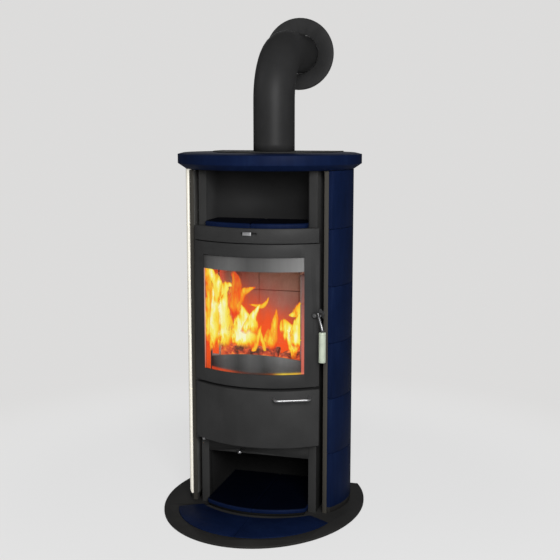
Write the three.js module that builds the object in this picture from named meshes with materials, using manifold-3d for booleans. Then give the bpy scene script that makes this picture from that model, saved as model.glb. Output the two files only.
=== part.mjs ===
// Round wood stove clad in glazed tiles, with a warming niche, a fire door,
// an ash door, a log compartment and the flue bend that leads to the wall.
// Millimetres, +Z up, the front faces -Y. The origin lies on the floor,
// straight below the axis of the flue.

import * as THREE from 'three';
import { mergeVertices } from 'three/addons/utils/BufferGeometryUtils.js';
import Module from 'manifold-3d';

const wasm = await Module();
wasm.setup();

// ---- Driving dimensions --------------------------------------------------

const fit = 0.3;                       // gap left between two solids that touch
const tileJoint = 2;                   // open joint between two neighbouring tiles
const sheet = 2;                       // folded sheet steel of decks and shutters
const liningSheet = 1.5;               // thin sheet of the linings
const plate = 3;                       // steel plate of the carcass

// Floor plate and the crescent of tiles let into it
const floorPlateHalfWidth = 360;
const floorPlateHalfDepth = 436;
const floorPlateCentreY = -120;
const floorPlateBack = 125;
const floorPlateThickness = 8;
const crescentRecess = 5;
const crescentTileThickness = 6.7;
const crescentInnerRadius = 311;
const crescentInnerReach = 202;
const crescentOuterRadius = 290;
const crescentOuterCentreY = -199;
const crescentTipReach = 278;

// Carcass: two folded sides whose front edges show as posts
const carcassHalfWidth = 214;
const carcassFront = -210;
const carcassBack = 112;
const carcassTop = 1221.7;
const postWidth = 28;
const postReturn = 30;

// Levels, from the floor up
const plinthHeight = 11.4;
const logTileThickness = 14;
const logOpeningHeight = 172;
const lintelHeight = 58;
const ashDoorHeight = 203;
const doorSpacing = 11;
const fireDoorHeight = 497;
const fasciaSpacing = 4;
const fasciaHeight = 49;
const shelfTileThickness = 17;
const nicheDepth = 113;
const logDepth = 290;
const backVents = 9;
const backVentPitch = 40;
const backVentWidth = 10;
const backVentHeight = 80;
const backVentAbovePlinth = 40;

// Bowed front: fascia, doors, bay tiles and log guard share one centre of curvature
const bowRadius = 350;
const bowEdgeY = -226.4;               // where the bow ends at the doors' side edges
const fasciaHalfWidth = 225;
const doorHalfWidth = 227;
const logTileSetback = 14;
const shelfTileSetback = 18;
const logGuardSetback = 54;
const tileCornerRadius = 26;

// Cladding: an oval of curved tiles on steel frames
const claddingHalfWidth = 303;
const claddingHalfDepth = 265;
const claddingCentreY = -60;
const claddingFront = -193;
const claddingBack = 100;
const sideTileThickness = 11;
const sideTileRows = 6;
const sideTileJoint = 1.5;
const frameFront = -203;
const frameFlangeWidth = 14.5;
const frameFlangeLap = 2.5;
const frameReturn = 78;
const ledgeHeight = 18.9;
const ledgeWidth = 24;
const tieWidth = 40;
const tieY = -90;

// Top plate and its grille
const topPlateOverhang = 28;
const topPlateThickness = 56;
const topPlateBack = 122;
const topPlateUnderBevel = 19;
const topPlateUpperBevel = 5;
const topPlateUpperBevelWidth = 20;
const grilleHalfWidth = 238;
const grilleHalfDepth = 270;
const grilleCentreY = 60;
const grilleBack = 106;
const grilleRim = 6;
const grilleSlotWidth = 8;
const grilleSlotPitch = 18;
const grilleSlotLength = 44;
const grilleWeb = 10;
const grilleBorder = 20;

// Flue
const flueDiameter = 150;
const flueWall = 2;
const flueAxisHeight = 1649;
const flueBendRadius = 185;
const flueWallDistance = 356;
const spigotLap = 45;
const rosetteDiameter = 276;
const rosetteRim = 9;

// Firebox, bricks and grate
const fireboxHalfWidth = 183;
const fireboxBack = 100;
const fireboxWall = 4;
const brickThickness = 29;
const brickHeight = 360;
const sideBrickSetback = 16;
const floorBrickThickness = 25;
const baffleThickness = 25;
const baffleDepth = 175;
const grateHalfWidth = 100;
const grateFront = -150;
const grateDepth = 200;
const grateThickness = 17;
const grateLedge = 12;
const grateBars = 9;
const logGuardHalfWidth = 176;
const logGuardThickness = 5;
const logGuardEndHeight = 54;
const logGuardRise = 28;

// Doors
const doorSkin = 5;
const doorStile = 22;
const doorRail = 14;
const doorBackGap = 3;
const windowHalfWidth = 182;
const windowBottomRail = 46;
const windowTopRail = 44;
const glassThickness = 4;
const glassLap = 13;
const glassSealThickness = 1.6;
const retainerTopBand = 48;
const doorSealWidth = 14;
const hingeAxisX = -220;
const hingeAxisY = -219;
const hingePinDiameter = 8;
const hingePinReach = 14;
const hingeClearance = 0.4;

// Fire door handle
const leverPivotX = 216;
const leverPivotAboveDoor = 253;
const pivotPinDiameter = 8;
const pivotHeadDiameter = 13;
const pivotHeadThickness = 4;
const pivotCollarDiameter = 17;
const leverPlateThickness = 5;
const leverSweep = 12;                 // how far the lever swings to the left of its pivot
const leverStandoff = 1.6;             // from the door's bow to the plate, at the end of that sweep
const leverHubRadius = 9;
const hookWidth = 5;
const leverRootReach = 18;
const catchPinReach = 20;
const catchPinDiameter = 7;
const catchHeadDiameter = 9;
const catchHeadThickness = 3;
const catchSlotClearance = 4;
const leverBarDiameter = 10;           // where it runs inside the grip
const leverNeckDiameter = 7;           // where the arm leaves the plate
const leverElbowDiameter = 13;         // where the arm meets the grip
const gripDiameter = 24;
const gripLength = 105;
const gripReach = 31;                  // to the right of the pivot
const gripStandoff = 13;               // in front of the lever plate
const gripDrop = 54;

// Ash door handle, ash box and ash pan
const barHandleDiameter = 9;
const barHandleLeft = 84;
const barHandleRight = 197;
const barHandleStandoff = 38;
const barHandleBelowTop = 24;
const barHandleBend = 16;
const ashBoxHalfWidth = 170;
const ashBoxBack = 75;
const ashBoxFloorAboveDuct = 11;
const ashOpeningHalfWidth = 150;
const ashOpeningHeight = 180;
const ashPanHalfWidth = 140;
const ashPanFront = -195;
const ashPanBack = 50;
const ashPanHeight = 60;
const ashPanSheet = 2;

// Air controls
const sliderSlotWidth = 56;
const sliderSlotHeight = 8;
const sliderDepth = 12;                // from the bow to the sliding plate
const sliderPlateWidth = 110;
const sliderPlateHeight = 20;
const sliderGuideWidth = 190;
const sliderTabWidth = 30;
const sliderTabHeight = 11;
const sliderRestX = -5;
const sliderBelowTop = 17;
const airRodX = -60;
const airRodAboveLintel = 11;
const airRodDiameter = 8;
const airKnobDiameter = 15;
const airKnobProud = 26;
const airWallY = -98;
const airPortWidth = 56;
const airPortAboveDuct = 14;
const airPortBelowDuct = 12;
const shutterLap = 8;
const ashBoxAirHoleWidth = 80;
const ashBoxAirHoleFront = -60;
const ashBoxAirHoleBack = 0;

// ---- Levels that follow from them ----------------------------------------

const plinthBottom = floorPlateThickness + fit;
const plinthTop = plinthBottom + plinthHeight;
const logTileTop = plinthTop + fit + logTileThickness;
const lintelBottom = logTileTop + logOpeningHeight;
const ashDoorBottom = lintelBottom + lintelHeight;
const ashDoorTop = ashDoorBottom + ashDoorHeight;
const fireDoorBottom = ashDoorTop + doorSpacing;
const fireDoorTop = fireDoorBottom + fireDoorHeight;
const fasciaBottom = fireDoorTop + fasciaSpacing;
const fasciaTop = fasciaBottom + fasciaHeight;
const shelfTileTop = fasciaTop + fit + shelfTileThickness;
const topPlateBottom = carcassTop + fit;
const topPlateTop = topPlateBottom + topPlateThickness;
const grilleTop = topPlateTop + fit + plate;
const innerHalfWidth = carcassHalfWidth - postWidth;
const bayHalfWidth = innerHalfWidth - fit;
const plateBack = carcassFront + plate;
const boxFront = plateBack + fit;
const ashBoxBottom = ashDoorBottom + ashBoxFloorAboveDuct - plate;
const fireboxBottom = ashDoorTop + plate + fit;
const fireboxTop = fireDoorTop + 10;
const hearthLevel = fireboxBottom + fireboxWall + fit + floorBrickThickness;
const doorBack = carcassFront - doorBackGap;
const bowCentreY = bowEdgeY + Math.sqrt(bowRadius ** 2 - doorHalfWidth ** 2);
const bowApex = bowCentreY - bowRadius;
const logTileBowRadius = bowRadius - logTileSetback;
const shelfTileBowRadius = bowRadius - shelfTileSetback;

// ---- Materials ------------------------------------------------------------

const finishes = {
  blackSteel: { color: 0x2f2f2f, roughness: 0.55, metalness: 0.4 },
  greySteel: { color: 0x46464a, roughness: 0.5, metalness: 0.5 },
  blueGlaze: { color: 0x141f3d, roughness: 0.15, metalness: 0.0 },
  castIron: { color: 0x2a2a2b, roughness: 0.7, metalness: 0.6 },
  firebrick: { color: 0xb8a078, roughness: 0.95, metalness: 0.0 },
  glass: { color: 0xdfe6e4, roughness: 0.05, metalness: 0.0, transparent: true, opacity: 0.25 },
  chrome: { color: 0xd8dadd, roughness: 0.12, metalness: 1.0 },
  brightSteel: { color: 0x9b9c9e, roughness: 0.3, metalness: 0.9 },
  rope: { color: 0x3a3835, roughness: 0.95, metalness: 0.0 },
  paleGrip: { color: 0xcdd5c4, roughness: 0.5, metalness: 0.0 },
};

const stove = new THREE.Group();
stove.name = 'tiled_stove';

function add(name, geometry, finish, parent = stove) {
  const mesh = new THREE.Mesh(geometry, new THREE.MeshStandardMaterial(finishes[finish]));
  mesh.name = name;
  parent.add(mesh);
  return mesh;
}

// ---- Solids ---------------------------------------------------------------

function solidOf(geometry) {
  const bare = geometry.clone();
  bare.deleteAttribute('normal');
  bare.deleteAttribute('uv');
  const merged = mergeVertices(bare, 1e-3);
  return new wasm.Manifold(new wasm.Mesh({
    numProp: 3,
    vertProperties: new Float32Array(merged.attributes.position.array),
    triVerts: new Uint32Array(merged.index.array),
  }));
}

function geometryOf(solid) {
  const mesh = solid.getMesh();
  const geometry = new THREE.BufferGeometry();
  geometry.setAttribute('position', new THREE.BufferAttribute(mesh.vertProperties, 3));
  geometry.setIndex(new THREE.BufferAttribute(mesh.triVerts, 1));
  return geometry;
}

function join(...geometries) {
  return geometryOf(geometries.map(solidOf).reduce((whole, next) => whole.add(next)));
}

function cut(geometry, ...tools) {
  return geometryOf(tools.map(solidOf).reduce((rest, tool) => rest.subtract(tool), solidOf(geometry)));
}

function box(x0, x1, y0, y1, z0, z1) {
  const geometry = new THREE.BoxGeometry(x1 - x0, y1 - y0, z1 - z0);
  return geometry.translate((x0 + x1) / 2, (y0 + y1) / 2, (z0 + z1) / 2);
}

// Round bar from one point to another, tapered where its end has a radius of its own
function bar(from, to, radius, sides = 24, endRadius = radius) {
  const start = new THREE.Vector3(...from);
  const run = new THREE.Vector3(...to).sub(start);
  const geometry = new THREE.CylinderGeometry(endRadius, radius, run.length(), sides);
  const upward = new THREE.Vector3(0, 1, 0);
  const turn = new THREE.Quaternion().setFromUnitVectors(upward, run.clone().normalize());
  geometry.applyQuaternion(turn);
  return geometry.translate(start.x + run.x / 2, start.y + run.y / 2, start.z + run.z / 2);
}

function vectors(outline) {
  return outline.map(([x, y]) => new THREE.Vector2(x, y));
}

function extruded(outline, depth, holes = []) {
  const shape = new THREE.Shape(vectors(outline));
  const whole = new THREE.ExtrudeGeometry(shape, { depth, bevelEnabled: false, steps: 1 });
  const plugs = holes.map((hole) => extruded(hole, depth + 2).translate(0, 0, -1));
  return plugs.length ? cut(whole, ...plugs) : whole;
}

// Plan outline (x, y) raised from one level to another
function upright(outline, z0, z1, holes = []) {
  return extruded(outline, z1 - z0, holes).translate(0, 0, z0);
}

// Front view outline (x, z) given a thickness from front to back
function facing(outline, yFront, yBack, holes = []) {
  return extruded(outline, yBack - yFront, holes).rotateX(Math.PI / 2).translate(0, yBack, 0);
}

// Side view outline (y, z) given a width from left to right
function crosswise(outline, x0, x1) {
  const turn = new THREE.Matrix4().set(0, 0, 1, 0, 1, 0, 0, 0, 0, 1, 0, 0, 0, 0, 0, 1);
  return extruded(outline, x1 - x0).applyMatrix4(turn).translate(x0, 0, 0);
}

// Closed solid through a stack of plan outlines with equal numbers of points
function lofted(outlines, levels) {
  const count = outlines[0].length;
  const points = outlines.flatMap((outline, i) => outline.map(([x, y]) => [x, y, levels[i]]));
  const index = [];
  for (let level = 0; level < outlines.length - 1; level++) {
    for (let i = 0; i < count; i++) {
      const a = level * count + i;
      const b = level * count + (i + 1) % count;
      index.push(a, b, b + count, a, b + count, a + count);
    }
  }
  const lid = (outline, first, up) => {
    const flat = vectors(outline);
    THREE.ShapeUtils.triangulateShape(flat, []).forEach((face) => {
      const rising = THREE.ShapeUtils.area(face.map((i) => flat[i])) > 0;
      const ordered = rising === up ? face : [...face].reverse();
      index.push(...ordered.map((i) => first + i));
    });
  };
  lid(outlines[0], 0, false);
  lid(outlines[outlines.length - 1], (outlines.length - 1) * count, true);
  const geometry = new THREE.BufferGeometry();
  geometry.setAttribute('position', new THREE.Float32BufferAttribute(points.flat(), 3));
  geometry.setIndex(index);
  return geometry;
}

function mirrored(outline) {
  return outline.map(([x, y]) => [-x, y]).reverse();
}

// ---- Outlines -------------------------------------------------------------

const rectangle = (x0, x1, y0, y1) => [[x0, y0], [x1, y0], [x1, y1], [x0, y1]];

function circle(cx, cy, radius, sides = 48) {
  return Array.from({ length: sides }, (_, i) => {
    const angle = (i / sides) * 2 * Math.PI;
    return [cx + radius * Math.cos(angle), cy + radius * Math.sin(angle)];
  });
}

// Points of a circle about (0, centreY), on its front side, between two x values
function bowedLine(radius, x0, x1, steps, centreY = bowCentreY) {
  const from = Math.asin(x0 / radius);
  const to = Math.asin(x1 / radius);
  return Array.from({ length: steps + 1 }, (_, i) => {
    const angle = from + ((to - from) * i) / steps;
    return [radius * Math.sin(angle), centreY - radius * Math.cos(angle)];
  });
}

// Depth at which a bow about that centre lies, at one x
function bowAt(x, radius = bowRadius) {
  return bowCentreY - Math.sqrt(radius ** 2 - x ** 2);
}

// Bowed strip between two radii
function bowedStrip(outer, inner, x0, x1, steps = 24) {
  return [...bowedLine(outer, x0, x1, steps), ...bowedLine(inner, x0, x1, steps).reverse()];
}

// Bowed front closed by a straight back
function bowedBlock(radius, x0, x1, back, steps = 24) {
  return [...bowedLine(radius, x0, x1, steps), [x1, back], [x0, back]];
}

// Oval with a straight back
function oval(halfWidth, halfDepth, centreY, back, steps = 64) {
  const end = Math.acos((centreY - back) / halfDepth);
  return Array.from({ length: steps + 1 }, (_, i) => {
    const angle = -end + (2 * end * i) / steps;
    return [halfWidth * Math.sin(angle), centreY - halfDepth * Math.cos(angle)];
  });
}

// Right-hand run of the cladding oval, set in by a distance, from front to back
function claddingLine(inset, yFront, yBack, steps) {
  const halfWidth = claddingHalfWidth - inset;
  const halfDepth = claddingHalfDepth - inset;
  const from = Math.acos((claddingCentreY - yFront) / halfDepth);
  const to = Math.acos((claddingCentreY - yBack) / halfDepth);
  return Array.from({ length: steps + 1 }, (_, i) => {
    const angle = from + ((to - from) * i) / steps;
    return [halfWidth * Math.sin(angle), claddingCentreY - halfDepth * Math.cos(angle)];
  });
}

function claddingStrip(outerInset, innerInset, yFront, yBack, steps = 16) {
  const outer = claddingLine(outerInset, yFront, yBack, steps);
  const inner = claddingLine(innerInset, yFront, yBack, steps);
  return [...outer, ...inner.reverse()];
}

// Right half of a bay tile with a rounded front corner, drawn in by an inset
function bayTileOutline(radius, back, inset) {
  const left = tileJoint / 2 + inset;
  const right = bayHalfWidth - fit - inset;
  const front = radius - inset;
  const corner = tileCornerRadius - inset;
  const cornerX = right - corner;
  const cornerY = bowCentreY - Math.sqrt((front - corner) ** 2 - cornerX ** 2);
  const tangentX = cornerX * front / (front - corner);
  const startAngle = Math.atan2(cornerY - bowCentreY, cornerX);
  const round = Array.from({ length: 6 }, (_, i) => {
    const angle = startAngle - (startAngle * (i + 1)) / 6;
    return [cornerX + corner * Math.cos(angle), cornerY + corner * Math.sin(angle)];
  });
  return [...bowedLine(front, left, tangentX, 14), ...round, [right, back - inset], [left, back - inset]];
}

// ---- Floor plate ----------------------------------------------------------

function crescentOutline(inset, left) {
  const inner = crescentInnerRadius + inset;
  const outer = crescentOuterRadius - inset;
  const innerReach = crescentInnerReach - inset;
  const tipReach = crescentTipReach - 2 * inset;
  return [
    ...bowedLine(outer, left, tipReach, 18, crescentOuterCentreY),
    ...bowedLine(inner, left, innerReach, 12, 0).reverse(),
  ];
}

const floorPlateOutline = oval(
  floorPlateHalfWidth,
  floorPlateHalfDepth,
  floorPlateCentreY,
  floorPlateBack,
  72,
);
const recessFloor = floorPlateThickness - crescentRecess;
const recessRight = upright(crescentOutline(0, 0), recessFloor, floorPlateThickness + 1);
const recessLeft = upright(mirrored(crescentOutline(0, 0)), recessFloor, floorPlateThickness + 1);
add('floor_plate', cut(
  upright(floorPlateOutline, 0, floorPlateThickness),
  join(recessRight, recessLeft),
), 'blackSteel');

const crescentTile = crescentOutline(tileJoint / 2, tileJoint / 2);
const crescentBottom = recessFloor + fit;
const crescentTop = crescentBottom + crescentTileThickness;
add('floor_tile_right', upright(crescentTile, crescentBottom, crescentTop), 'blueGlaze');
add('floor_tile_left', upright(mirrored(crescentTile), crescentBottom, crescentTop), 'blueGlaze');

// ---- Carcass --------------------------------------------------------------

const sideOutline = [
  [carcassHalfWidth, carcassBack],
  [carcassHalfWidth - plate, carcassBack],
  [carcassHalfWidth - plate, carcassFront + plate],
  [innerHalfWidth + plate, carcassFront + plate],
  [innerHalfWidth + plate, carcassFront + postReturn],
  [innerHalfWidth, carcassFront + postReturn],
  [innerHalfWidth, carcassFront],
  [carcassHalfWidth, carcassFront],
];
add('carcass_side_right', upright(sideOutline, plinthBottom, carcassTop), 'blackSteel');
add('carcass_side_left', upright(mirrored(sideOutline), plinthBottom, carcassTop), 'blackSteel');

const backHalfWidth = carcassHalfWidth - plate - fit;
const ventBottom = plinthBottom + backVentAbovePlinth;
const ventSlots = Array.from({ length: backVents }, (_, i) => {
  const x = (i - (backVents - 1) / 2) * backVentPitch;
  return rectangle(x - backVentWidth / 2, x + backVentWidth / 2, ventBottom, ventBottom + backVentHeight);
});
add('back_panel', facing(
  rectangle(-backHalfWidth, backHalfWidth, plinthBottom, carcassTop),
  carcassBack - plate,
  carcassBack,
  ventSlots,
), 'blackSteel');

// Tiles with an eased upper edge
function bayTile(radius, back, bottom, thickness) {
  const eased = Math.min(5, thickness / 3);
  const full = bayTileOutline(radius, back, 0);
  const drawnIn = bayTileOutline(radius, back, eased);
  return { full, drawnIn, levels: [bottom, bottom + thickness - eased, bottom + thickness] };
}

function addBayTiles(name, tile) {
  const outlines = [tile.full, tile.full, tile.drawnIn];
  add(`${name}_right`, lofted(outlines, tile.levels), 'blueGlaze');
  add(`${name}_left`, lofted(outlines.map(mirrored), tile.levels), 'blueGlaze');
}

const logBack = carcassFront + logDepth;
addBayTiles('log_floor_tile', bayTile(logTileBowRadius, logBack - fit, plinthTop + fit, logTileThickness));

// Lining sheet folded to a U, with its back wall between the two sides
function liningOutline(half, front, back, thickness) {
  return [
    [half, front],
    [half + thickness, front],
    [half + thickness, back + thickness],
    [-half - thickness, back + thickness],
    [-half - thickness, front],
    [-half, front],
    [-half, back],
    [half, back],
  ];
}
const trayRadius = logTileBowRadius - 6;
const trayHalf = bayHalfWidth - 8;
const liningFront = carcassFront + postReturn + fit;
const trayInside = bowedBlock(trayRadius - sheet, sheet - trayHalf, trayHalf - sheet, logBack);
add('log_lining', join(
  upright(liningOutline(innerHalfWidth, liningFront, logBack, liningSheet), plinthBottom, lintelBottom - fit),
  cut(
    upright(bowedBlock(trayRadius, -trayHalf, trayHalf, liningFront + 20), plinthBottom, plinthTop),
    upright(trayInside, 0, plinthTop - sheet),
  ),
  box(-innerHalfWidth - 1, innerHalfWidth + 1, liningFront + 10, logBack + 1, plinthTop - sheet, plinthTop),
), 'blackSteel');

// Lintel folded into the deck over the logs, bored for the air rod
const deckBack = carcassBack - plate - fit;
const airRodZ = lintelBottom + airRodAboveLintel;
const lintelProfile = [
  [carcassFront, lintelBottom],
  [deckBack, lintelBottom],
  [deckBack, lintelBottom + sheet],
  [plateBack, lintelBottom + sheet],
  [plateBack, ashDoorBottom - fit],
  [carcassFront, ashDoorBottom - fit],
];
const airRodBore = airRodDiameter / 2 + 0.5;
const ductTop = ashBoxBottom - fit;
const ductBottom = lintelBottom + sheet;
const airPort = rectangle(
  airRodX - airPortWidth / 2,
  airRodX + airPortWidth / 2,
  ductBottom + airPortAboveDuct,
  ductTop - airPortBelowDuct,
);
const airWall = rectangle(-bayHalfWidth, bayHalfWidth, ductBottom - 1, ductTop);
add('lintel_deck', join(
  cut(
    crosswise(lintelProfile, -bayHalfWidth, bayHalfWidth),
    bar([airRodX, carcassFront - 5, airRodZ], [airRodX, plateBack + 5, airRodZ], airRodBore),
  ),
  facing(airWall, airWallY, airWallY + sheet, [airPort]),
), 'blackSteel');

// Front plate behind the two doors, with the fire opening and the ash opening
const fireOpening = { half: fireboxHalfWidth - fireboxWall, bottom: hearthLevel, top: fireDoorTop - 25 };
const ashOpening = { bottom: ashBoxBottom + plate, top: ashBoxBottom + plate + ashOpeningHeight };
const frontPlateTop = fasciaTop - plate - fit;
add('front_plate', facing(
  rectangle(-bayHalfWidth, bayHalfWidth, ashDoorBottom, frontPlateTop),
  carcassFront,
  plateBack,
  [
    rectangle(-fireOpening.half, fireOpening.half, fireOpening.bottom, fireOpening.top),
    rectangle(-ashOpeningHalfWidth, ashOpeningHalfWidth, ashOpening.bottom, ashOpening.top),
  ],
), 'blackSteel');

// ---- Warming niche --------------------------------------------------------

const nicheBack = carcassFront + nicheDepth;
const nicheHalf = innerHalfWidth - 2;
const nicheOuter = nicheHalf + liningSheet;
add('niche_lining', cut(
  box(-nicheOuter, nicheOuter, carcassFront, nicheBack + liningSheet, fasciaTop - plate, carcassTop),
  box(-nicheHalf, nicheHalf, carcassFront - 1, nicheBack, fasciaTop, carcassTop - plate),
), 'blackSteel');

function shelfTileSolid(mirror) {
  const tile = bayTile(shelfTileBowRadius, nicheBack - fit, fasciaTop + fit, shelfTileThickness);
  const slim = (outline) => outline.map(([x, y]) => [Math.min(x, nicheHalf - fit), y]);
  const outlines = [tile.full, tile.full, tile.drawnIn].map(slim);
  return lofted(mirror ? outlines.map(mirrored) : outlines, tile.levels);
}
add('shelf_tile_right', shelfTileSolid(false), 'blueGlaze');
add('shelf_tile_left', shelfTileSolid(true), 'blueGlaze');

// ---- Fascia and air slider ------------------------------------------------

const sliderZ = fasciaTop - sliderBelowTop;
const slotHalf = sliderSlotWidth / 2;
const slotBottom = sliderZ - sliderSlotHeight / 2;
const fasciaBack = carcassFront - fit;
const sliderPlateFront = bowApex + sliderDepth;
const guideFront = sliderPlateFront + sheet + fit;
const guideHalf = sliderGuideWidth / 2;
const guideBottom = sliderZ - sliderPlateHeight / 2 - sheet;
add('fascia', join(
  cut(
    upright(bowedBlock(bowRadius, -fasciaHalfWidth, fasciaHalfWidth, fasciaBack), fasciaBottom, fasciaTop),
    upright(
      bowedBlock(bowRadius - plate, -fasciaHalfWidth + plate, fasciaHalfWidth - plate, fasciaBack + 5),
      fasciaBottom - 1,
      fasciaTop - plate,
    ),
    box(-slotHalf, slotHalf, bowApex - 5, bowApex + 15, slotBottom, slotBottom + sliderSlotHeight),
  ),
  box(-guideHalf, guideHalf, guideFront, guideFront + plate, guideBottom, fasciaTop - 1),
), 'blackSteel');

const tabLeft = sliderRestX - sliderTabWidth / 2;
const tabRight = sliderRestX + sliderTabWidth / 2;
const tabHalf = sliderTabHeight / 2;
const stemHalf = sliderSlotHeight / 2 - 0.5;
const slidingLeft = sliderRestX - sliderPlateWidth / 2;
const slidingRight = sliderRestX + sliderPlateWidth / 2;
const slidingHalf = sliderPlateHeight / 2;
const slidingBack = sliderPlateFront + sheet;
add('air_slider', join(
  box(tabLeft, tabRight, bowApex - 5, bowApex - 1, sliderZ - tabHalf, sliderZ + tabHalf),
  box(tabLeft + 6, tabRight - 6, bowApex - 2, sliderPlateFront + 1, sliderZ - stemHalf, sliderZ + stemHalf),
  box(
    slidingLeft,
    slidingRight,
    sliderPlateFront,
    slidingBack,
    sliderZ - slidingHalf,
    sliderZ + slidingHalf,
  ),
), 'chrome');

// ---- Cladding -------------------------------------------------------------

const tileInner = claddingLine(sideTileThickness, claddingFront, claddingBack, 1);
const flangeRight = tileInner[0][0] + frameFlangeLap;
const flangeLeft = flangeRight - frameFlangeWidth;
const ledgeTop = plinthBottom + ledgeHeight;
const frameTop = carcassTop - plate;
const rearInner = carcassHalfWidth + fit;
const rearOuter = tileInner[1][0] - fit;

function claddingFrame() {
  const flange = box(flangeLeft, flangeRight, frameFront, frameFront + plate, plinthBottom, frameTop);
  const returnBack = frameFront + frameReturn;
  const returned = box(flangeLeft, flangeLeft + sheet, frameFront, returnBack, plinthBottom, frameTop);
  const strip = claddingStrip(1, ledgeWidth, claddingFront, claddingBack);
  const hidden = claddingStrip(sideTileThickness + fit, ledgeWidth, claddingFront, claddingBack);
  const bottomLedge = upright(strip, plinthBottom, ledgeTop);
  const topLedge = upright(hidden, frameTop - plate, frameTop);
  const rear = box(rearInner, rearOuter, claddingBack - plate, claddingBack, plinthBottom, frameTop);
  const tieOuter = claddingHalfWidth - ledgeWidth + 2;
  const tie = (top) => box(rearInner, tieOuter, tieY - tieWidth / 2, tieY + tieWidth / 2, top - plate, top);
  const besideCarcass = box(0, rearInner, frameFront - 1, claddingBack + 1, 0, frameTop + 1);
  const whole = join(flange, returned, bottomLedge, topLedge, rear, tie(ledgeTop), tie(frameTop));
  return cut(whole, besideCarcass);
}

const sideTileBottom = ledgeTop + fit;
const sideTilePitch = (carcassTop - sideTileBottom) / sideTileRows;
const sideTileHeight = sideTilePitch - sideTileJoint;
for (const side of ['right', 'left']) {
  const flip = side === 'left' ? -1 : 1;
  const frame = claddingFrame();
  const strip = claddingStrip(0, sideTileThickness, claddingFront, claddingBack);
  const outline = flip < 0 ? mirrored(strip) : strip;
  const wanted = flip < 0 ? geometryOf(solidOf(frame).mirror([1, 0, 0])) : frame;
  add(`cladding_frame_${side}`, wanted, 'greySteel');
  for (let row = 0; row < sideTileRows; row++) {
    const tile = add(`side_tile_${side}_${row + 1}`, upright(outline, 0, sideTileHeight), 'blueGlaze');
    tile.position.z = sideTileBottom + row * sideTilePitch;
  }
}

// ---- Top plate and grille -------------------------------------------------

function topPlateRing(inset) {
  const spread = topPlateOverhang - inset;
  return oval(claddingHalfWidth + spread, claddingHalfDepth + spread, claddingCentreY, topPlateBack, 72);
}
const grilleHole = oval(
  grilleHalfWidth - grilleRim,
  grilleHalfDepth - grilleRim,
  grilleCentreY,
  grilleBack - grilleRim,
  40,
);
add('top_plate', cut(
  lofted(
    [topPlateOverhang, 0, 0, topPlateUpperBevelWidth].map(topPlateRing),
    [topPlateBottom, topPlateBottom + topPlateUnderBevel, topPlateTop - topPlateUpperBevel, topPlateTop],
  ),
  upright(grilleHole, topPlateBottom - 1, topPlateTop + 1),
), 'blueGlaze');

// Rows of short slots, left out where the rim or the flue would be cut
const flueHoleRadius = flueDiameter / 2 + 2;
function grilleSlots() {
  const slots = [];
  const columns = Math.floor(grilleHalfWidth / grilleSlotPitch);
  const rows = Math.floor((grilleHalfDepth + grilleBack) / (grilleSlotLength + grilleWeb));
  for (let column = -columns; column <= columns; column++) {
    for (let row = 0; row < rows; row++) {
      const x = column * grilleSlotPitch;
      const rear = grilleBack - grilleBorder - row * (grilleSlotLength + grilleWeb);
      const front = rear - grilleSlotLength;
      const reach = (Math.abs(x) + grilleSlotWidth) / (grilleHalfWidth - grilleBorder / 2);
      const depth = (grilleCentreY - front) / (grilleHalfDepth - grilleBorder / 2);
      const insideRim = reach ** 2 + depth ** 2 < 1 && reach < 0.96;
      const nearestY = Math.max(front, Math.min(rear, 0));
      const slotEdge = Math.abs(x) - grilleSlotWidth / 2;
      const besideFlue = Math.hypot(slotEdge, nearestY) > flueHoleRadius + grilleWeb / 2;
      if (insideRim && besideFlue) {
        slots.push(rectangle(x - grilleSlotWidth / 2, x + grilleSlotWidth / 2, front, rear));
      }
    }
  }
  return slots;
}
const grilleOutline = oval(grilleHalfWidth, grilleHalfDepth, grilleCentreY, grilleBack, 40);
const grilleHoles = [circle(0, 0, flueHoleRadius), ...grilleSlots()];
add('top_grille', upright(grilleOutline, topPlateTop + fit, grilleTop, grilleHoles), 'blackSteel');

// ---- Flue -----------------------------------------------------------------

class QuarterBend extends THREE.Curve {
  getPoint(t, target = new THREE.Vector3()) {
    const angle = (t * Math.PI) / 2;
    const y = flueBendRadius * (1 - Math.cos(angle));
    const z = flueAxisHeight - flueBendRadius * (1 - Math.sin(angle));
    return target.set(0, y, z);
  }
}

const flueBottom = grilleTop + fit;
const fluePath = new THREE.CurvePath();
fluePath.add(new THREE.LineCurve3(
  new THREE.Vector3(0, 0, flueBottom),
  new THREE.Vector3(0, 0, flueAxisHeight - flueBendRadius),
));
fluePath.add(new QuarterBend());
fluePath.add(new THREE.LineCurve3(
  new THREE.Vector3(0, flueBendRadius, flueAxisHeight),
  new THREE.Vector3(0, flueWallDistance, flueAxisHeight),
));
const flueSection = new THREE.Shape(vectors(circle(0, 0, flueDiameter / 2, 40)));
flueSection.holes.push(new THREE.Path(vectors(circle(0, 0, flueDiameter / 2 - flueWall, 40))));
add('flue_bend', new THREE.ExtrudeGeometry(flueSection, {
  steps: 26,
  bevelEnabled: false,
  extrudePath: fluePath,
}), 'blackSteel');

const spigotRadius = flueDiameter / 2 - flueWall - fit;
const spigotBore = spigotRadius - flueWall;
const collarRadius = spigotRadius + 22;
const collarBottom = fireboxTop + fit;
add('flue_spigot', new THREE.LatheGeometry([
  new THREE.Vector2(spigotBore, collarBottom),
  new THREE.Vector2(collarRadius, collarBottom),
  new THREE.Vector2(collarRadius, collarBottom + 4),
  new THREE.Vector2(spigotRadius, collarBottom + 4),
  new THREE.Vector2(spigotRadius, flueBottom + spigotLap),
  new THREE.Vector2(spigotBore, flueBottom + spigotLap),
  new THREE.Vector2(spigotBore, collarBottom),
], 48).rotateX(Math.PI / 2), 'castIron');

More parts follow.
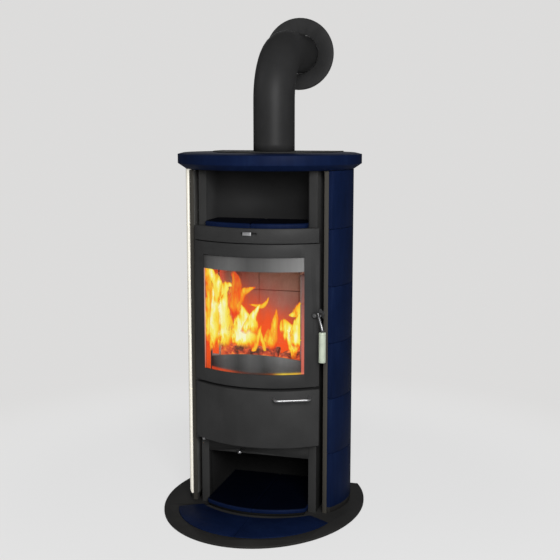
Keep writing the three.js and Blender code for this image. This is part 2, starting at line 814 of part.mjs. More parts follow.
const rosetteBore = flueDiameter / 2 + fit;
const rosette = add('wall_rosette', new THREE.LatheGeometry([
  new THREE.Vector2(rosetteBore, 0),
  new THREE.Vector2(rosetteDiameter / 2, 0),
  new THREE.Vector2(rosetteDiameter / 2, rosetteRim - 3),
  new THREE.Vector2(rosetteDiameter / 2 - 3, rosetteRim),
  new THREE.Vector2(rosetteBore, rosetteRim - 3),
  new THREE.Vector2(rosetteBore, 0),
], 56).rotateX(Math.PI), 'blackSteel');
rosette.position.set(0, flueWallDistance, flueAxisHeight);

// ---- Firebox --------------------------------------------------------------

const fireboxInner = fireboxHalfWidth - fireboxWall;
const grateBack = grateFront + grateDepth;
add('firebox', cut(
  box(-fireboxHalfWidth, fireboxHalfWidth, boxFront, fireboxBack, fireboxBottom, fireboxTop),
  box(
    -fireboxInner,
    fireboxInner,
    boxFront - 1,
    fireboxBack - fireboxWall,
    fireboxBottom + fireboxWall,
    fireboxTop - fireboxWall,
  ),
  box(
    -grateHalfWidth + grateLedge,
    grateHalfWidth - grateLedge,
    grateFront + grateLedge,
    grateBack - grateLedge,
    fireboxBottom - 1,
    fireboxBottom + fireboxWall + 1,
  ),
  bar([0, 0, fireboxTop - 10], [0, 0, fireboxTop + 5], spigotBore, 48),
), 'castIron');

const brickBottom = fireboxBottom + fireboxWall + fit;
const brickOuter = fireboxInner - fit;
const brickInner = brickOuter - brickThickness;
const brickRear = fireboxBack - fireboxWall - fit;
const backBrickFront = brickRear - brickThickness;
const sideBrickFront = boxFront + sideBrickSetback;
const wallBrickBottom = hearthLevel + fit;
const wallBrickTop = wallBrickBottom + brickHeight;
add('back_brick', box(
  -brickOuter,
  brickOuter,
  backBrickFront,
  brickRear,
  wallBrickBottom,
  wallBrickTop,
), 'firebrick');
function sideBrick(x0, x1) {
  return box(x0, x1, sideBrickFront, backBrickFront - fit, wallBrickBottom, wallBrickTop);
}
add('side_brick_right', sideBrick(brickInner, brickOuter), 'firebrick');
add('side_brick_left', sideBrick(-brickOuter, -brickInner), 'firebrick');
const grateGap = 1;
add('hearth_brick', cut(
  box(-brickOuter, brickOuter, sideBrickFront, brickRear, brickBottom, hearthLevel),
  box(
    -grateHalfWidth - grateGap,
    grateHalfWidth + grateGap,
    grateFront - grateGap,
    grateBack + grateGap,
    brickBottom - 1,
    hearthLevel + 1,
  ),
), 'firebrick');
add('baffle_plate', box(
  -brickOuter,
  brickOuter,
  brickRear - baffleDepth,
  brickRear,
  wallBrickTop + fit,
  wallBrickTop + fit + baffleThickness,
), 'firebrick');

const grateBarPitch = (2 * grateHalfWidth - 2 * grateLedge) / grateBars;
const grateSlots = Array.from({ length: grateBars }, (_, i) => {
  const x = -grateHalfWidth + grateLedge + (i + 0.5) * grateBarPitch;
  return rectangle(x - grateBarPitch / 4, x + grateBarPitch / 4, grateFront + 20, grateBack - 20);
});
add('grate', upright(
  rectangle(-grateHalfWidth, grateHalfWidth, grateFront, grateBack),
  brickBottom,
  brickBottom + grateThickness,
  grateSlots,
), 'castIron');

// Log guard: a bowed plate whose top edge arches up in the middle
function logGuard() {
  const radius = bowRadius - logGuardSetback;
  const strip = bowedStrip(radius, radius - logGuardThickness, -logGuardHalfWidth, logGuardHalfWidth);
  const top = hearthLevel + logGuardEndHeight + logGuardRise + 10;
  const reach = logGuardHalfWidth + 2;
  const arch = Array.from({ length: 17 }, (_, i) => {
    const x = -reach + (2 * reach * i) / 16;
    return [x, hearthLevel + logGuardEndHeight + logGuardRise * (1 - (x / logGuardHalfWidth) ** 2)];
  });
  const front = bowCentreY - radius - 5;
  const back = bowAt(logGuardHalfWidth, radius) + 2 * logGuardThickness + 5;
  const above = facing([...arch, [reach, top + 5], [-reach, top + 5]], front, back);
  return cut(upright(strip, hearthLevel + fit, top), above);
}
add('log_guard', logGuard(), 'brightSteel');

// ---- Doors ----------------------------------------------------------------

const pinRadius = hingePinDiameter / 2;
const pinBore = pinRadius + hingeClearance;
const cavityHalf = doorHalfWidth - doorStile;

function doorShell(bottom, top) {
  const bore = (z0, z1) => bar([hingeAxisX, hingeAxisY, z0], [hingeAxisX, hingeAxisY, z1], pinBore);
  return cut(
    upright(bowedBlock(bowRadius, -doorHalfWidth, doorHalfWidth, doorBack, 28), bottom, top),
    upright(
      bowedBlock(bowRadius - doorSkin, -cavityHalf, cavityHalf, doorBack + 5, 28),
      bottom + doorRail,
      top - doorRail,
    ),
    bore(bottom - 1, bottom + hingePinReach),
    bore(top - hingePinReach, top + 1),
  );
}

// Fire door with its window
const windowBottom = fireDoorBottom + windowBottomRail;
const windowTop = fireDoorTop - windowTopRail;
const windowCutFront = bowApex - 5;
const windowCutBack = doorBack - 5;
const leverPivotZ = fireDoorBottom + leverPivotAboveDoor;
const leverPlateBack = bowAt(leverPivotX - leverSweep) - leverStandoff;
const leverPlateFront = leverPlateBack - leverPlateThickness;
const pivotPinRadius = pivotPinDiameter / 2;
const pivotBore = bar(
  [leverPivotX, leverPlateFront - 5, leverPivotZ],
  [leverPivotX, doorBack + 5, leverPivotZ],
  pivotPinRadius + fit,
);
add('fire_door', cut(
  doorShell(fireDoorBottom, fireDoorTop),
  box(-windowHalfWidth, windowHalfWidth, windowCutFront, windowCutBack, windowBottom, windowTop),
  pivotBore,
), 'blackSteel');

const sealOuterRadius = bowRadius - doorSkin - fit;
const sealInnerRadius = sealOuterRadius - glassSealThickness;
const glassOuterRadius = sealInnerRadius - fit;
const glassInnerRadius = glassOuterRadius - glassThickness;
const glassHalf = windowHalfWidth + glassLap;
const glassBottom = windowBottom - glassLap;
const glassTop = windowTop + glassLap;
const pane = bowedStrip(glassOuterRadius, glassInnerRadius, -glassHalf, glassHalf, 28);
add('door_glass', upright(pane, glassBottom, glassTop), 'glass');
const sealStrip = bowedStrip(sealOuterRadius, sealInnerRadius, -glassHalf, glassHalf, 28);
add('glass_seal', cut(
  upright(sealStrip, glassBottom, glassTop),
  box(
    -windowHalfWidth - 1,
    windowHalfWidth + 1,
    windowCutFront,
    windowCutBack,
    windowBottom - 1,
    windowTop + 1,
  ),
), 'rope');

// Frame that clamps the glass; its deep top band shows through the glass
const retainerOuter = glassInnerRadius - fit;
const retainerHalf = glassHalf + 4;
add('glass_retainer', cut(
  upright(
    bowedStrip(retainerOuter, retainerOuter - plate, -retainerHalf, retainerHalf, 28),
    fireDoorBottom + doorRail + fit,
    fireDoorTop - doorRail - fit,
  ),
  box(
    -windowHalfWidth - 2,
    windowHalfWidth + 2,
    windowCutFront,
    windowCutBack,
    windowBottom - 2,
    windowTop - retainerTopBand,
  ),
), 'brightSteel');

const sealOutside = doorHalfWidth - 5;
const sealInside = sealOutside - doorSealWidth;
add('door_seal', facing(
  rectangle(-sealOutside, sealOutside, fireDoorBottom + 2, fireDoorTop - 2),
  doorBack + fit,
  carcassFront - fit,
  [rectangle(-sealInside, sealInside, fireDoorBottom + 12, fireDoorTop - 12)],
), 'rope');

// Ash door
add('ash_door', doorShell(ashDoorBottom, ashDoorTop), 'blackSteel');

// Bowed bar handle: its feet stand on the door's face, its grip runs straight
function surfacePoint(x) {
  return new THREE.Vector3(x, bowAt(x), ashDoorTop - barHandleBelowTop);
}
function barHandle() {
  const footLeft = surfacePoint(barHandleLeft);
  const footRight = surfacePoint(barHandleRight);
  const along = footRight.clone().sub(footLeft).normalize();
  const out = new THREE.Vector3(along.y, -along.x, 0);
  const at = (foot, a, o) => foot.clone().addScaledVector(along, a).addScaledVector(out, o);
  const standoff = barHandleStandoff;
  const bend = barHandleBend;
  const path = new THREE.CurvePath();
  const first = at(footLeft, 0, -0.2);
  const last = at(footRight, 0, -0.2);
  path.add(new THREE.LineCurve3(first, at(footLeft, 0, standoff - bend)));
  path.add(new THREE.QuadraticBezierCurve3(
    at(footLeft, 0, standoff - bend),
    at(footLeft, 0, standoff),
    at(footLeft, bend, standoff),
  ));
  path.add(new THREE.LineCurve3(at(footLeft, bend, standoff), at(footRight, -bend, standoff)));
  path.add(new THREE.QuadraticBezierCurve3(
    at(footRight, -bend, standoff),
    at(footRight, 0, standoff),
    at(footRight, 0, standoff - bend),
  ));
  path.add(new THREE.LineCurve3(at(footRight, 0, standoff - bend), last));
  const section = new THREE.Shape(vectors(circle(0, 0, barHandleDiameter / 2, 14)));
  const rod = new THREE.ExtrudeGeometry(section, { steps: 48, bevelEnabled: false, extrudePath: path });
  const face = upright(
    bowedBlock(bowRadius + fit, -doorHalfWidth, doorHalfWidth, doorBack, 56),
    ashDoorBottom,
    ashDoorTop,
  );
  return cut(rod, face);
}
add('ash_door_handle', barHandle(), 'chrome');

// ---- Hinge brackets with their pins ---------------------------------------

function hingeBracket(name, bottom, top, pinDown, pinUp) {
  const front = hingeAxisY - 7;
  const blade = box(hingeAxisX - 8, -innerHalfWidth - 3, front, carcassFront - fit, bottom, top);
  const pin = bar(
    [hingeAxisX, hingeAxisY, bottom - pinDown],
    [hingeAxisX, hingeAxisY, top + pinUp],
    pinRadius,
  );
  add(name, join(blade, pin), 'greySteel');
}
const pinStub = hingePinReach - 2;
hingeBracket('hinge_bracket_top', fireDoorTop + 0.8, fasciaBottom - 0.8, pinStub, 0);
hingeBracket('hinge_bracket_middle', ashDoorTop + 2, fireDoorBottom - 2, pinStub, pinStub);
hingeBracket('hinge_bracket_bottom', ashDoorBottom - 8, ashDoorBottom - 2, 0, pinStub);

// ---- Fire door handle -----------------------------------------------------

const catchSlotHalf = catchPinDiameter / 2 + catchSlotClearance;
const catchX = leverPivotX + catchPinReach;
const gripX = leverPivotX + gripReach;
const gripY = leverPlateFront - gripStandoff;

// Ring sector about the pivot, as (x, z), between two angles in degrees
function pivotSector(inner, outer, from, to) {
  const steps = 8;
  const at = (radius, i) => {
    const angle = THREE.MathUtils.degToRad(from + ((to - from) * i) / steps);
    return [leverPivotX + radius * Math.cos(angle), leverPivotZ + radius * Math.sin(angle)];
  };
  const span = Array.from({ length: steps + 1 }, (_, i) => i);
  return [...span.map((i) => at(outer, i)), ...span.reverse().map((i) => at(inner, i))];
}

function leverSolid() {
  const slab = (outline) => facing(outline, leverPlateFront, leverPlateBack);
  const slotOuter = catchPinReach + catchSlotHalf;
  const hookOuter = slotOuter + hookWidth;
  const bridgeFrom = 22;
  const bridgeTo = 52;
  const fingerTip = -14;
  const rootAngle = THREE.MathUtils.degToRad(bridgeFrom + 12);
  const hub = slab(circle(leverPivotX, leverPivotZ, leverHubRadius, 28));
  const bridge = slab(pivotSector(pivotPinRadius + 1, hookOuter, bridgeFrom, bridgeTo));
  const finger = slab(pivotSector(slotOuter, hookOuter, fingerTip, bridgeFrom + 5));
  const coreRadius = leverBarDiameter / 2;
  const neckRadius = leverNeckDiameter / 2;
  const elbowRadius = leverElbowDiameter / 2;
  const ball = (at, radius) => new THREE.SphereGeometry(radius, 16, 12).translate(...at);
  const rootX = leverPivotX + leverRootReach * Math.cos(rootAngle);
  const rootZ = leverPivotZ + leverRootReach * Math.sin(rootAngle);
  const shoulder = [rootX, gripY + 2, rootZ];
  const elbow = [gripX, gripY, leverPivotZ - gripDrop + 8];
  const stub = bar([rootX, leverPlateFront + 1, rootZ], shoulder, neckRadius, 16);
  const arm = bar(shoulder, elbow, neckRadius, 16, elbowRadius);
  const core = bar(elbow, [gripX, gripY, leverPivotZ - gripDrop - gripLength + 4], coreRadius, 16);
  const balls = [ball(shoulder, neckRadius), ball(elbow, elbowRadius)];
  return cut(join(hub, bridge, finger, stub, arm, core, ...balls), pivotBore);
}
add('door_lever', leverSolid(), 'brightSteel');

const gripTop = leverPivotZ - gripDrop;
const gripInner = leverBarDiameter / 2 + fit;
const grip = add('door_grip', new THREE.LatheGeometry([
  new THREE.Vector2(gripInner, 0),
  new THREE.Vector2(gripInner, -gripLength + 3),
  new THREE.Vector2(0, -gripLength + 3),
  new THREE.Vector2(0, -gripLength),
  new THREE.Vector2(gripDiameter / 2 - 1.5, -gripLength),
  new THREE.Vector2(gripDiameter / 2, -gripLength + 1.5),
  new THREE.Vector2(gripDiameter / 2, -1.5),
  new THREE.Vector2(gripDiameter / 2 - 1.5, 0),
  new THREE.Vector2(gripInner, 0),
], 28).rotateX(Math.PI / 2), 'paleGrip');
grip.position.set(gripX, gripY, gripTop);

// Pivot through the lever into the door: head, shank and the collar between
const onPivot = (y) => [leverPivotX, y, leverPivotZ];
const doorFace = bowedBlock(bowRadius + fit, 0, doorHalfWidth + 1, doorBack + 1, 60);
const headFront = leverPlateFront - fit - pivotHeadThickness;
add('lever_pivot', join(
  bar(onPivot(headFront), onPivot(leverPlateFront - fit), pivotHeadDiameter / 2),
  bar(onPivot(headFront + 1), onPivot(doorBack - 1), pivotPinRadius),
  cut(
    bar(onPivot(leverPlateBack + fit), onPivot(doorBack), pivotCollarDiameter / 2),
    upright(doorFace, fireDoorBottom, fireDoorTop),
  ),
), 'greySteel');

// Catch on the carcass: a bracket in the gap beside the door, its pin and the head
const footLow = leverPivotZ - 8;
const footHigh = leverPivotZ + 8;
const footX = carcassHalfWidth + fit;
const footBack = frameFront - fit;
const catchHeadBack = leverPlateFront - fit;
const catchHeadFront = catchHeadBack - catchHeadThickness;
add('door_catch', join(
  box(footX, footX + plate, footBack - 6, footBack + 34, footLow, footHigh),
  box(footX, catchX + 4, footBack - 6, footBack, footLow, footHigh),
  bar([catchX, footBack - 3, leverPivotZ], [catchX, catchHeadBack - 1, leverPivotZ], catchPinDiameter / 2),
  bar([catchX, catchHeadBack, leverPivotZ], [catchX, catchHeadFront, leverPivotZ], catchHeadDiameter / 2),
), 'greySteel');

// ---- Ash box, ash pan and primary air -------------------------------------

const airHoleLeft = airRodX - ashBoxAirHoleWidth / 2;
const airHoleRight = airRodX + ashBoxAirHoleWidth / 2;
const ashBoxFloor = ashBoxBottom + plate;
add('ash_box', cut(
  box(-ashBoxHalfWidth, ashBoxHalfWidth, boxFront, ashBoxBack, ashBoxBottom, fireboxBottom - fit),
  box(
    -ashBoxHalfWidth + plate,
    ashBoxHalfWidth - plate,
    boxFront - 1,
    ashBoxBack - plate,
    ashBoxFloor,
    fireboxBottom + 1,
  ),
  box(airHoleLeft, airHoleRight, ashBoxAirHoleFront, ashBoxAirHoleBack, ashBoxBottom - 1, ashBoxFloor + 1),
), 'castIron');

const panBottom = ashBoxFloor + fit;
const panTop = panBottom + ashPanHeight;
add('ash_pan', join(
  cut(
    box(-ashPanHalfWidth, ashPanHalfWidth, ashPanFront, ashPanBack, panBottom, panTop),
    box(
      -ashPanHalfWidth + ashPanSheet,
      ashPanHalfWidth - ashPanSheet,
      ashPanFront + ashPanSheet,
      ashPanBack - ashPanSheet,
      panBottom + ashPanSheet,
      panTop + 1,
    ),
  ),
  box(-30, 30, ashPanFront - 12, ashPanFront + 1, panTop - 18, panTop - 15),
), 'greySteel');

// Air rod: knob in front, shutter over the port behind
const shutterFront = airWallY - fit - sheet;
const shutterLeft = airRodX - airPortWidth / 2 - shutterLap;
const shutterRight = airRodX + airPortWidth / 2 + shutterLap;
const knobCentreY = carcassFront - airKnobProud;
add('air_rod', join(
  new THREE.SphereGeometry(airKnobDiameter / 2, 24, 16).translate(airRodX, knobCentreY, airRodZ),
  bar([airRodX, knobCentreY, airRodZ], [airRodX, shutterFront + 1, airRodZ], airRodDiameter / 2, 16),
  box(shutterLeft, shutterRight, shutterFront, shutterFront + sheet, ductBottom + 2, ductTop - 3),
), 'chrome');

export default stove;
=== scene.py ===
"""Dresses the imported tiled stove: finishes, fire, brickwork, fittings, light and camera."""

from __future__ import annotations

import logging
import math
import random
from collections.abc import Callable, Iterable, Sequence
from dataclasses import dataclass
from enum import Enum
from itertools import pairwise

import bmesh
import bpy
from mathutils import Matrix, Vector, noise

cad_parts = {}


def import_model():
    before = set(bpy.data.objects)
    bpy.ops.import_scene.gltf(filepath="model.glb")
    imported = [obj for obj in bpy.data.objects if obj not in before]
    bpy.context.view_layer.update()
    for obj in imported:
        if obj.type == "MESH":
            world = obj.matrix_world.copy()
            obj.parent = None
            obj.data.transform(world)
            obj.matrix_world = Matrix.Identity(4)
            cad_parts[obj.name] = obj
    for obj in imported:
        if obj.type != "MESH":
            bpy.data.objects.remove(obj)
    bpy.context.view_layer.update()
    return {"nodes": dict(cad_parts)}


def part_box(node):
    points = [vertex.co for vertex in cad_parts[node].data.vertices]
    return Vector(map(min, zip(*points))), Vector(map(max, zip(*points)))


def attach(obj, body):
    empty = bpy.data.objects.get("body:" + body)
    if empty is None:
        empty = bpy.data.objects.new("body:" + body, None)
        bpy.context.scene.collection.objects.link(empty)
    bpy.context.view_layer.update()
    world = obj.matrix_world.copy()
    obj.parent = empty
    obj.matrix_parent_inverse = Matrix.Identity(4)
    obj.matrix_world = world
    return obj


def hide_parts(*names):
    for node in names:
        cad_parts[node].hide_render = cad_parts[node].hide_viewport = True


log = logging.getLogger("tiled_stove")

Colour = tuple[float, float, float]
Point = tuple[float, float, float]
Span = tuple[float, float]
Piece = bpy.types.Object
Values = dict[str | int, object]
MM = 0.001
ACROSS, ALONG, UP = 0, 1, 2
FINISH_PREFIX = "finish_"
FLAME_MAP = "ribbon"
FLAME_HEAT = "ribbon_heat"
BLACK = (0.0, 0.0, 0.0)
WHITE = (1.0, 1.0, 1.0)
CREAM = (0.98, 0.94, 0.83)


def scaled(colour: Colour, share: float) -> Colour:
    """A colour made darker or lighter."""
    return tuple(share * part for part in colour)


# ---- Shader graphs ----


def maths(operation: str, swapped: bool = False) -> Callable[..., Flow]:
    """A method of Flow that adds one Math node.

    Args:
        operation: what the node works out.
        swapped: whether the other value comes first.

    Returns:
        The method.
    """

    def method(self: Flow, *others: Flow | float) -> Flow:
        """Adds the node on this flow and the other values."""
        values = (*others, self) if swapped else (self, *others)
        return self.graph.node("Math", dict(enumerate(values)), operation=operation)

    return method


class Flow:
    """A socket of a shader graph, with the operators that shader maths needs."""

    def __init__(self, graph: Tree, socket: bpy.types.NodeSocket) -> None:
        """Wraps one output socket of the graph."""
        self.graph = graph
        self.socket = socket

    __add__ = maths("ADD")
    __radd__ = maths("ADD", swapped=True)
    __sub__ = maths("SUBTRACT")
    __rsub__ = maths("SUBTRACT", swapped=True)
    __mul__ = maths("MULTIPLY")
    __truediv__ = maths("DIVIDE")
    __pow__ = maths("POWER")
    __lt__ = maths("LESS_THAN")
    __gt__ = maths("GREATER_THAN")
    __abs__ = maths("ABSOLUTE")
    floor = maths("FLOOR")
    sine = maths("SINE")
    at_least = maths("MAXIMUM")
    at_most = maths("MINIMUM")

    def clamped(self) -> Flow:
        """The value kept between zero and one."""
        return self.at_least(0.0).at_most(1.0)

    def smooth(self, low: float, high: float) -> Flow:
        """A smooth rise from zero at low to one at high."""
        values = {"Value": self, "From Min": low, "From Max": high}
        return self.graph.node("MapRange", values, interpolation_type="SMOOTHSTEP")


class Tree:
    """A shader's node tree, filled through flows."""

    def __init__(self, tree: bpy.types.NodeTree) -> None:
        """Empties the node tree."""
        self.tree = tree
        self.tree.nodes.clear()

    def node(
        self, kind: str, values: Values | None = None, output: str | int = 0, **settings: object
    ) -> Flow:
        """Adds a node.

        Args:
            kind: the node's type, after Blender's "ShaderNode".
            values: socket names or numbers, each with a number, a colour or another flow.
            output: which output is returned.
            settings: attributes that are set before the sockets.

        Returns:
            The chosen output.
        """
        made = self.tree.nodes.new("ShaderNode" + kind)
        for key, value in settings.items():
            setattr(made, key, value)
        for key, value in (values or {}).items():
            self.feed(made.inputs[key], value)
        return Flow(self, made.outputs[output])

    def feed(self, socket: bpy.types.NodeSocket, value: object) -> None:
        """Links a flow into a socket, or sets the socket's own value."""
        if isinstance(value, Flow):
            self.tree.links.new(value.socket, socket)
        elif isinstance(value, tuple) and socket.type == "RGBA":
            socket.default_value = (*value, 1.0)
        else:
            socket.default_value = value

    def ray(self, kind: str) -> Flow:
        """One where the ray is of a kind, such as "Is Camera Ray"."""
        return self.node("LightPath", output=kind)

    def mixed(self, share: Flow, first: Flow, second: Flow) -> Flow:
        """A mix of two shaders, by the share of the second one."""
        return self.node("MixShader", {0: share, 1: first, 2: second})


class Graph(Tree):
    """The node tree of one material, around a Principled shader."""

    def __init__(self, name: str) -> None:
        """Makes an empty material with its shader and output."""
        self.material = bpy.data.materials.new(FINISH_PREFIX + name)
        self.material.use_nodes = True
        super().__init__(self.material.node_tree)
        self.shader = self.tree.nodes.new("ShaderNodeBsdfPrincipled")
        self.output = self.tree.nodes.new("ShaderNodeOutputMaterial")
        self.tree.links.new(self.shader.outputs[0], self.output.inputs["Surface"])

    def surface(self, **values: object) -> None:
        """Feeds the Principled shader; underscores stand for the spaces in its socket names."""
        for key, value in values.items():
            self.feed(self.shader.inputs[key.replace("_", " ")], value)

    def glow(self, colour: Flow, alpha: Flow, strength: float = 1.0) -> None:
        """Gives off light and reflects none."""
        self.surface(Base_Color=BLACK, Roughness=1.0, Specular_IOR_Level=0.0)
        self.surface(Emission_Color=colour, Emission_Strength=strength, Alpha=alpha)

    def place(self) -> Flow:
        """The place on the object, in metres of the shared frame."""
        return self.node("TexCoord", output="Object")

    def axes(self, place: Flow) -> tuple[Flow, Flow, Flow]:
        """The three coordinates of a place."""
        outputs = self.node("SeparateXYZ", {0: place}).socket.node.outputs
        return tuple(Flow(self, outputs[axis]) for axis in "XYZ")

    def point(self, x: Flow | float, y: Flow | float, z: Flow | float) -> Flow:
        """A vector from three numbers."""
        return self.node("CombineXYZ", {"X": x, "Y": y, "Z": z})

    def stretched(self, place: Flow, scale: Point) -> Flow:
        """A place with each axis scaled."""
        return self.node("VectorMath", {0: place, 1: scale}, operation="MULTIPLY")

    def noise(self, place: Flow, scale: float, detail: float = 3.0, roughness: float = 0.5) -> Flow:
        """Cloudy noise between zero and one."""
        values = {"Vector": place, "Scale": scale, "Detail": detail, "Roughness": roughness}
        return self.node("TexNoise", values, "Fac")

    def streaks(self, place: Flow, stretch: Point, *shape: float) -> Flow:
        """Noise at a stretched place; its shape is what noise takes after the place."""
        return self.noise(self.stretched(place, stretch), *shape)

    def cells(self, place: Flow, scale: float) -> Flow:
        """Distance to the nearest of many scattered points."""
        return self.node("TexVoronoi", {"Vector": place, "Scale": scale}, "Distance")

    def ramp(self, value: Flow, *stops: tuple[float, Colour]) -> Flow:
        """A colour picked by a value, between stops that each have a place and a colour."""
        picked = self.node("ValToRGB", {"Fac": value}, "Color")
        elements = picked.socket.node.color_ramp.elements
        while len(elements) < len(stops):
            elements.new(1.0)
        for element, (place, colour) in zip(elements, stops):
            element.position = place
            element.color = (*colour, 1.0)
        return picked

    def blend(self, amount: Flow | float, low: Flow | Colour, high: Flow | Colour) -> Flow:
        """A colour between two others."""
        first_colour, second_colour, mixed_colour = 6, 7, 2
        values = {0: amount, first_colour: low, second_colour: high}
        return self.node("Mix", values, mixed_colour, data_type="RGBA")

    def shaded(self, amount: Flow, colour: Colour, low: float, high: float = 1.0) -> Flow:
        """A colour scaled by the low share where the amount is zero, and by the high one where it is one."""
        return self.blend(amount, scaled(colour, low), scaled(colour, high))

    def bump(self, height: Flow, strength: float, distance: float) -> None:
        """Gives the surface fine relief, with its depth in metres."""
        values = {"Height": height, "Strength": strength, "Distance": distance}
        self.surface(Normal=self.node("Bump", values, "Normal"))


# ---- Finishes ----


@dataclass(frozen=True)
class Coat:
    """What all finishes share: a name, and a material that each covers in its own way."""

    name: str

    def material(self) -> bpy.types.Material:
        """Builds the finish's material."""
        graph = Graph(self.name)
        self.cover(graph, graph.place())
        return graph.material

    def cover(self, graph: Graph, place: Flow) -> None:
        """Fills the material's graph.

        Args:
            graph: the material's graph.
            place: the place on the object.
        """
        raise NotImplementedError


@dataclass(frozen=True)
class StovePaint(Coat):
    """Heat-proof satin paint on sheet steel, with a fine grain."""

    colour: Colour
    roughness: float = 0.52
    grain: float = 900.0
    grain_depth: float = 0.00005
    sheen: float = 0.13
    dark: float = 0.86
    light: float = 1.16
    spread: float = 0.1

    def cover(self, graph: Graph, place: Flow) -> None:
        """Clouds the paint and grains it."""
        cloud = graph.noise(place, 7.0, 4.0)
        speck = graph.noise(place, self.grain, 2.0)
        mottle = (cloud * 0.7 + speck * 0.3).smooth(0.3, 0.7)
        tone = graph.shaded(mottle, self.colour, self.dark, self.light)
        rough = self.roughness - self.spread / 2 + cloud * self.spread
        graph.surface(Base_Color=tone, Roughness=rough, Specular_IOR_Level=self.sheen)
        graph.bump(speck, 0.35, self.grain_depth)


@dataclass(frozen=True)
class BlueGlaze(Coat):
    """Deep blue glaze that pools darker in places, with painted shade on top of tiles that lie in a recess,
    and a painted cream glare with a painted glow on front ends where that is asked for.
    """

    deep: Colour = (0.0032, 0.0080, 0.031)
    mid: Colour = (0.0050, 0.0120, 0.046)
    thin: Colour = (0.0085, 0.0190, 0.060)
    sheen: float = 0.05
    tile_foot: float = 0.027
    tile_pitch: float = 0.199
    tile_shift: Span = (3.7, 1.9)
    painted_glare: Colour | None = None
    glare_front: float = -0.158
    glare_glow_share: float = 0.34
    glare_roughness: float = 0.85
    shaded_above: float | None = None
    shade_rise: float = 0.0035
    shade: Colour = (0.0004, 0.0006, 0.0016)
    shade_share: float = 0.88
    joint_reach: float = 0.005
    joint_front: float = -0.290
    joint_fade: float = 0.01

    def cover(self, graph: Graph, place: Flow) -> None:
        """Pools the glaze, paints shade on its top and on its joint, and paints glare on its front ends,
        where that is asked for.
        """
        across, along, up = graph.axes(place)
        tile = ((up - self.tile_foot) / self.tile_pitch).floor()
        shift_across, shift_along = self.tile_shift
        shifted = graph.point(across + tile * shift_across, along + tile * shift_along, up)
        pool = graph.streaks(shifted, (1.0, 1.0, 0.55), 9.0, 5.0, 0.55)
        streak = graph.streaks(shifted, (6.0, 6.0, 0.7), 11.0, 3.0)
        pits = graph.cells(shifted, 260.0)
        depth = pool * 0.65 + streak * 0.35
        tone = graph.ramp(depth, (0.30, self.deep), (0.55, self.mid), (0.78, self.thin))
        rough = 0.44 + pool * 0.14
        waves = graph.noise(shifted, 34.0, 2.0) * 0.8 + pits.smooth(0.0, 0.12) * 0.2
        # Painted shade: on recessed tiles, the top and the middle joint behind the front edge are darkened
        # towards the shade colour.
        if self.shaded_above:
            behind = along.smooth(self.joint_front, self.joint_front + self.joint_fade)
            joint = (abs(across) < self.joint_reach) * behind
            top = up.smooth(self.shaded_above - self.shade_rise, self.shaded_above)
            tone = graph.blend((top + joint).clamped() * self.shade_share, tone, self.shade)
        # Painted reflection: the left tiles' front ends take a cream grazing glare, and a painted glow
        # through emission brightens it further.
        if self.painted_glare:
            glare = (along < self.glare_front) * (across < 0.0)
            grit = graph.noise(place, 420.0, 3.0)
            body = graph.shaded(grit.smooth(0.35, 0.7), self.painted_glare, 0.9)
            tone = graph.blend(glare, tone, body)
            rough = rough * (1.0 - glare) + glare * self.glare_roughness
            painted_glare_glow = graph.blend(glare, BLACK, scaled(self.painted_glare, self.glare_glow_share))
            graph.surface(Emission_Color=painted_glare_glow, Emission_Strength=1.0)
        graph.surface(Base_Color=tone, Roughness=rough, Specular_IOR_Level=self.sheen)
        graph.bump(waves, 0.25, 0.0006)


@dataclass(frozen=True)
class BareSteel(Coat):
    """Steel with fine brushing along one axis."""

    colour: Colour
    roughness: float
    brushing: Point
    heat_tint: float = 0.0
    burn: Colour = (0.75, 0.6, 0.5)

    def cover(self, graph: Graph, place: Flow) -> None:
        """Brushes the steel and tints it where it has been hot."""
        lines = graph.streaks(place, self.brushing, 55.0, 4.0)
        stain = graph.noise(place, 16.0, 4.0)
        tone = graph.shaded(lines.smooth(0.25, 0.75), self.colour, 0.78)
        if self.heat_tint:
            burnt = tuple(part * share for part, share in zip(self.colour, self.burn))
            tone = graph.blend(stain.smooth(0.45, 0.75) * self.heat_tint, tone, burnt)
        rough = self.roughness + lines * 0.12 + stain * 0.06
        graph.surface(Base_Color=tone, Roughness=rough, Metallic=1.0)
        graph.bump(lines, 0.12, 0.0001)


@dataclass(frozen=True)
class FrameSteel(Coat):
    """Painted angle steel whose flat return, in the shade of the gap, carries painted light: a lighter grey,
    mottled in cells.
    """

    paint: Colour = (0.058, 0.054, 0.046)
    painted_light_return: Colour = (0.16, 0.158, 0.150)
    sole: Colour = (0.020, 0.019, 0.018)
    painted_depth: float = -0.1995
    foot: float = 0.030

    def cover(self, graph: Graph, place: Flow) -> None:
        """Paints the front, lightens the return with painted light and darkens its foot."""
        _, along, up = graph.axes(place)
        speck = graph.noise(place, 900.0, 2.0)
        # Painted light: behind the painted front, the return is turned a lighter mottled grey that stands in
        # for light reaching it in the gap.
        return_mottle = graph.cells(graph.stretched(place, (1.0, 1.0, 0.4)), 60.0)
        behind = along > self.painted_depth
        painted_light_return_tone = graph.shaded(return_mottle.smooth(0.2, 0.7), self.painted_light_return, 1.0, 0.8)
        steel = graph.blend(behind, self.paint, painted_light_return_tone)
        tone = graph.blend((up < self.foot) * behind, steel, self.sole)
        graph.surface(Base_Color=tone, Roughness=0.5, Specular_IOR_Level=0.2)
        graph.bump(speck, 0.3, 0.00005)


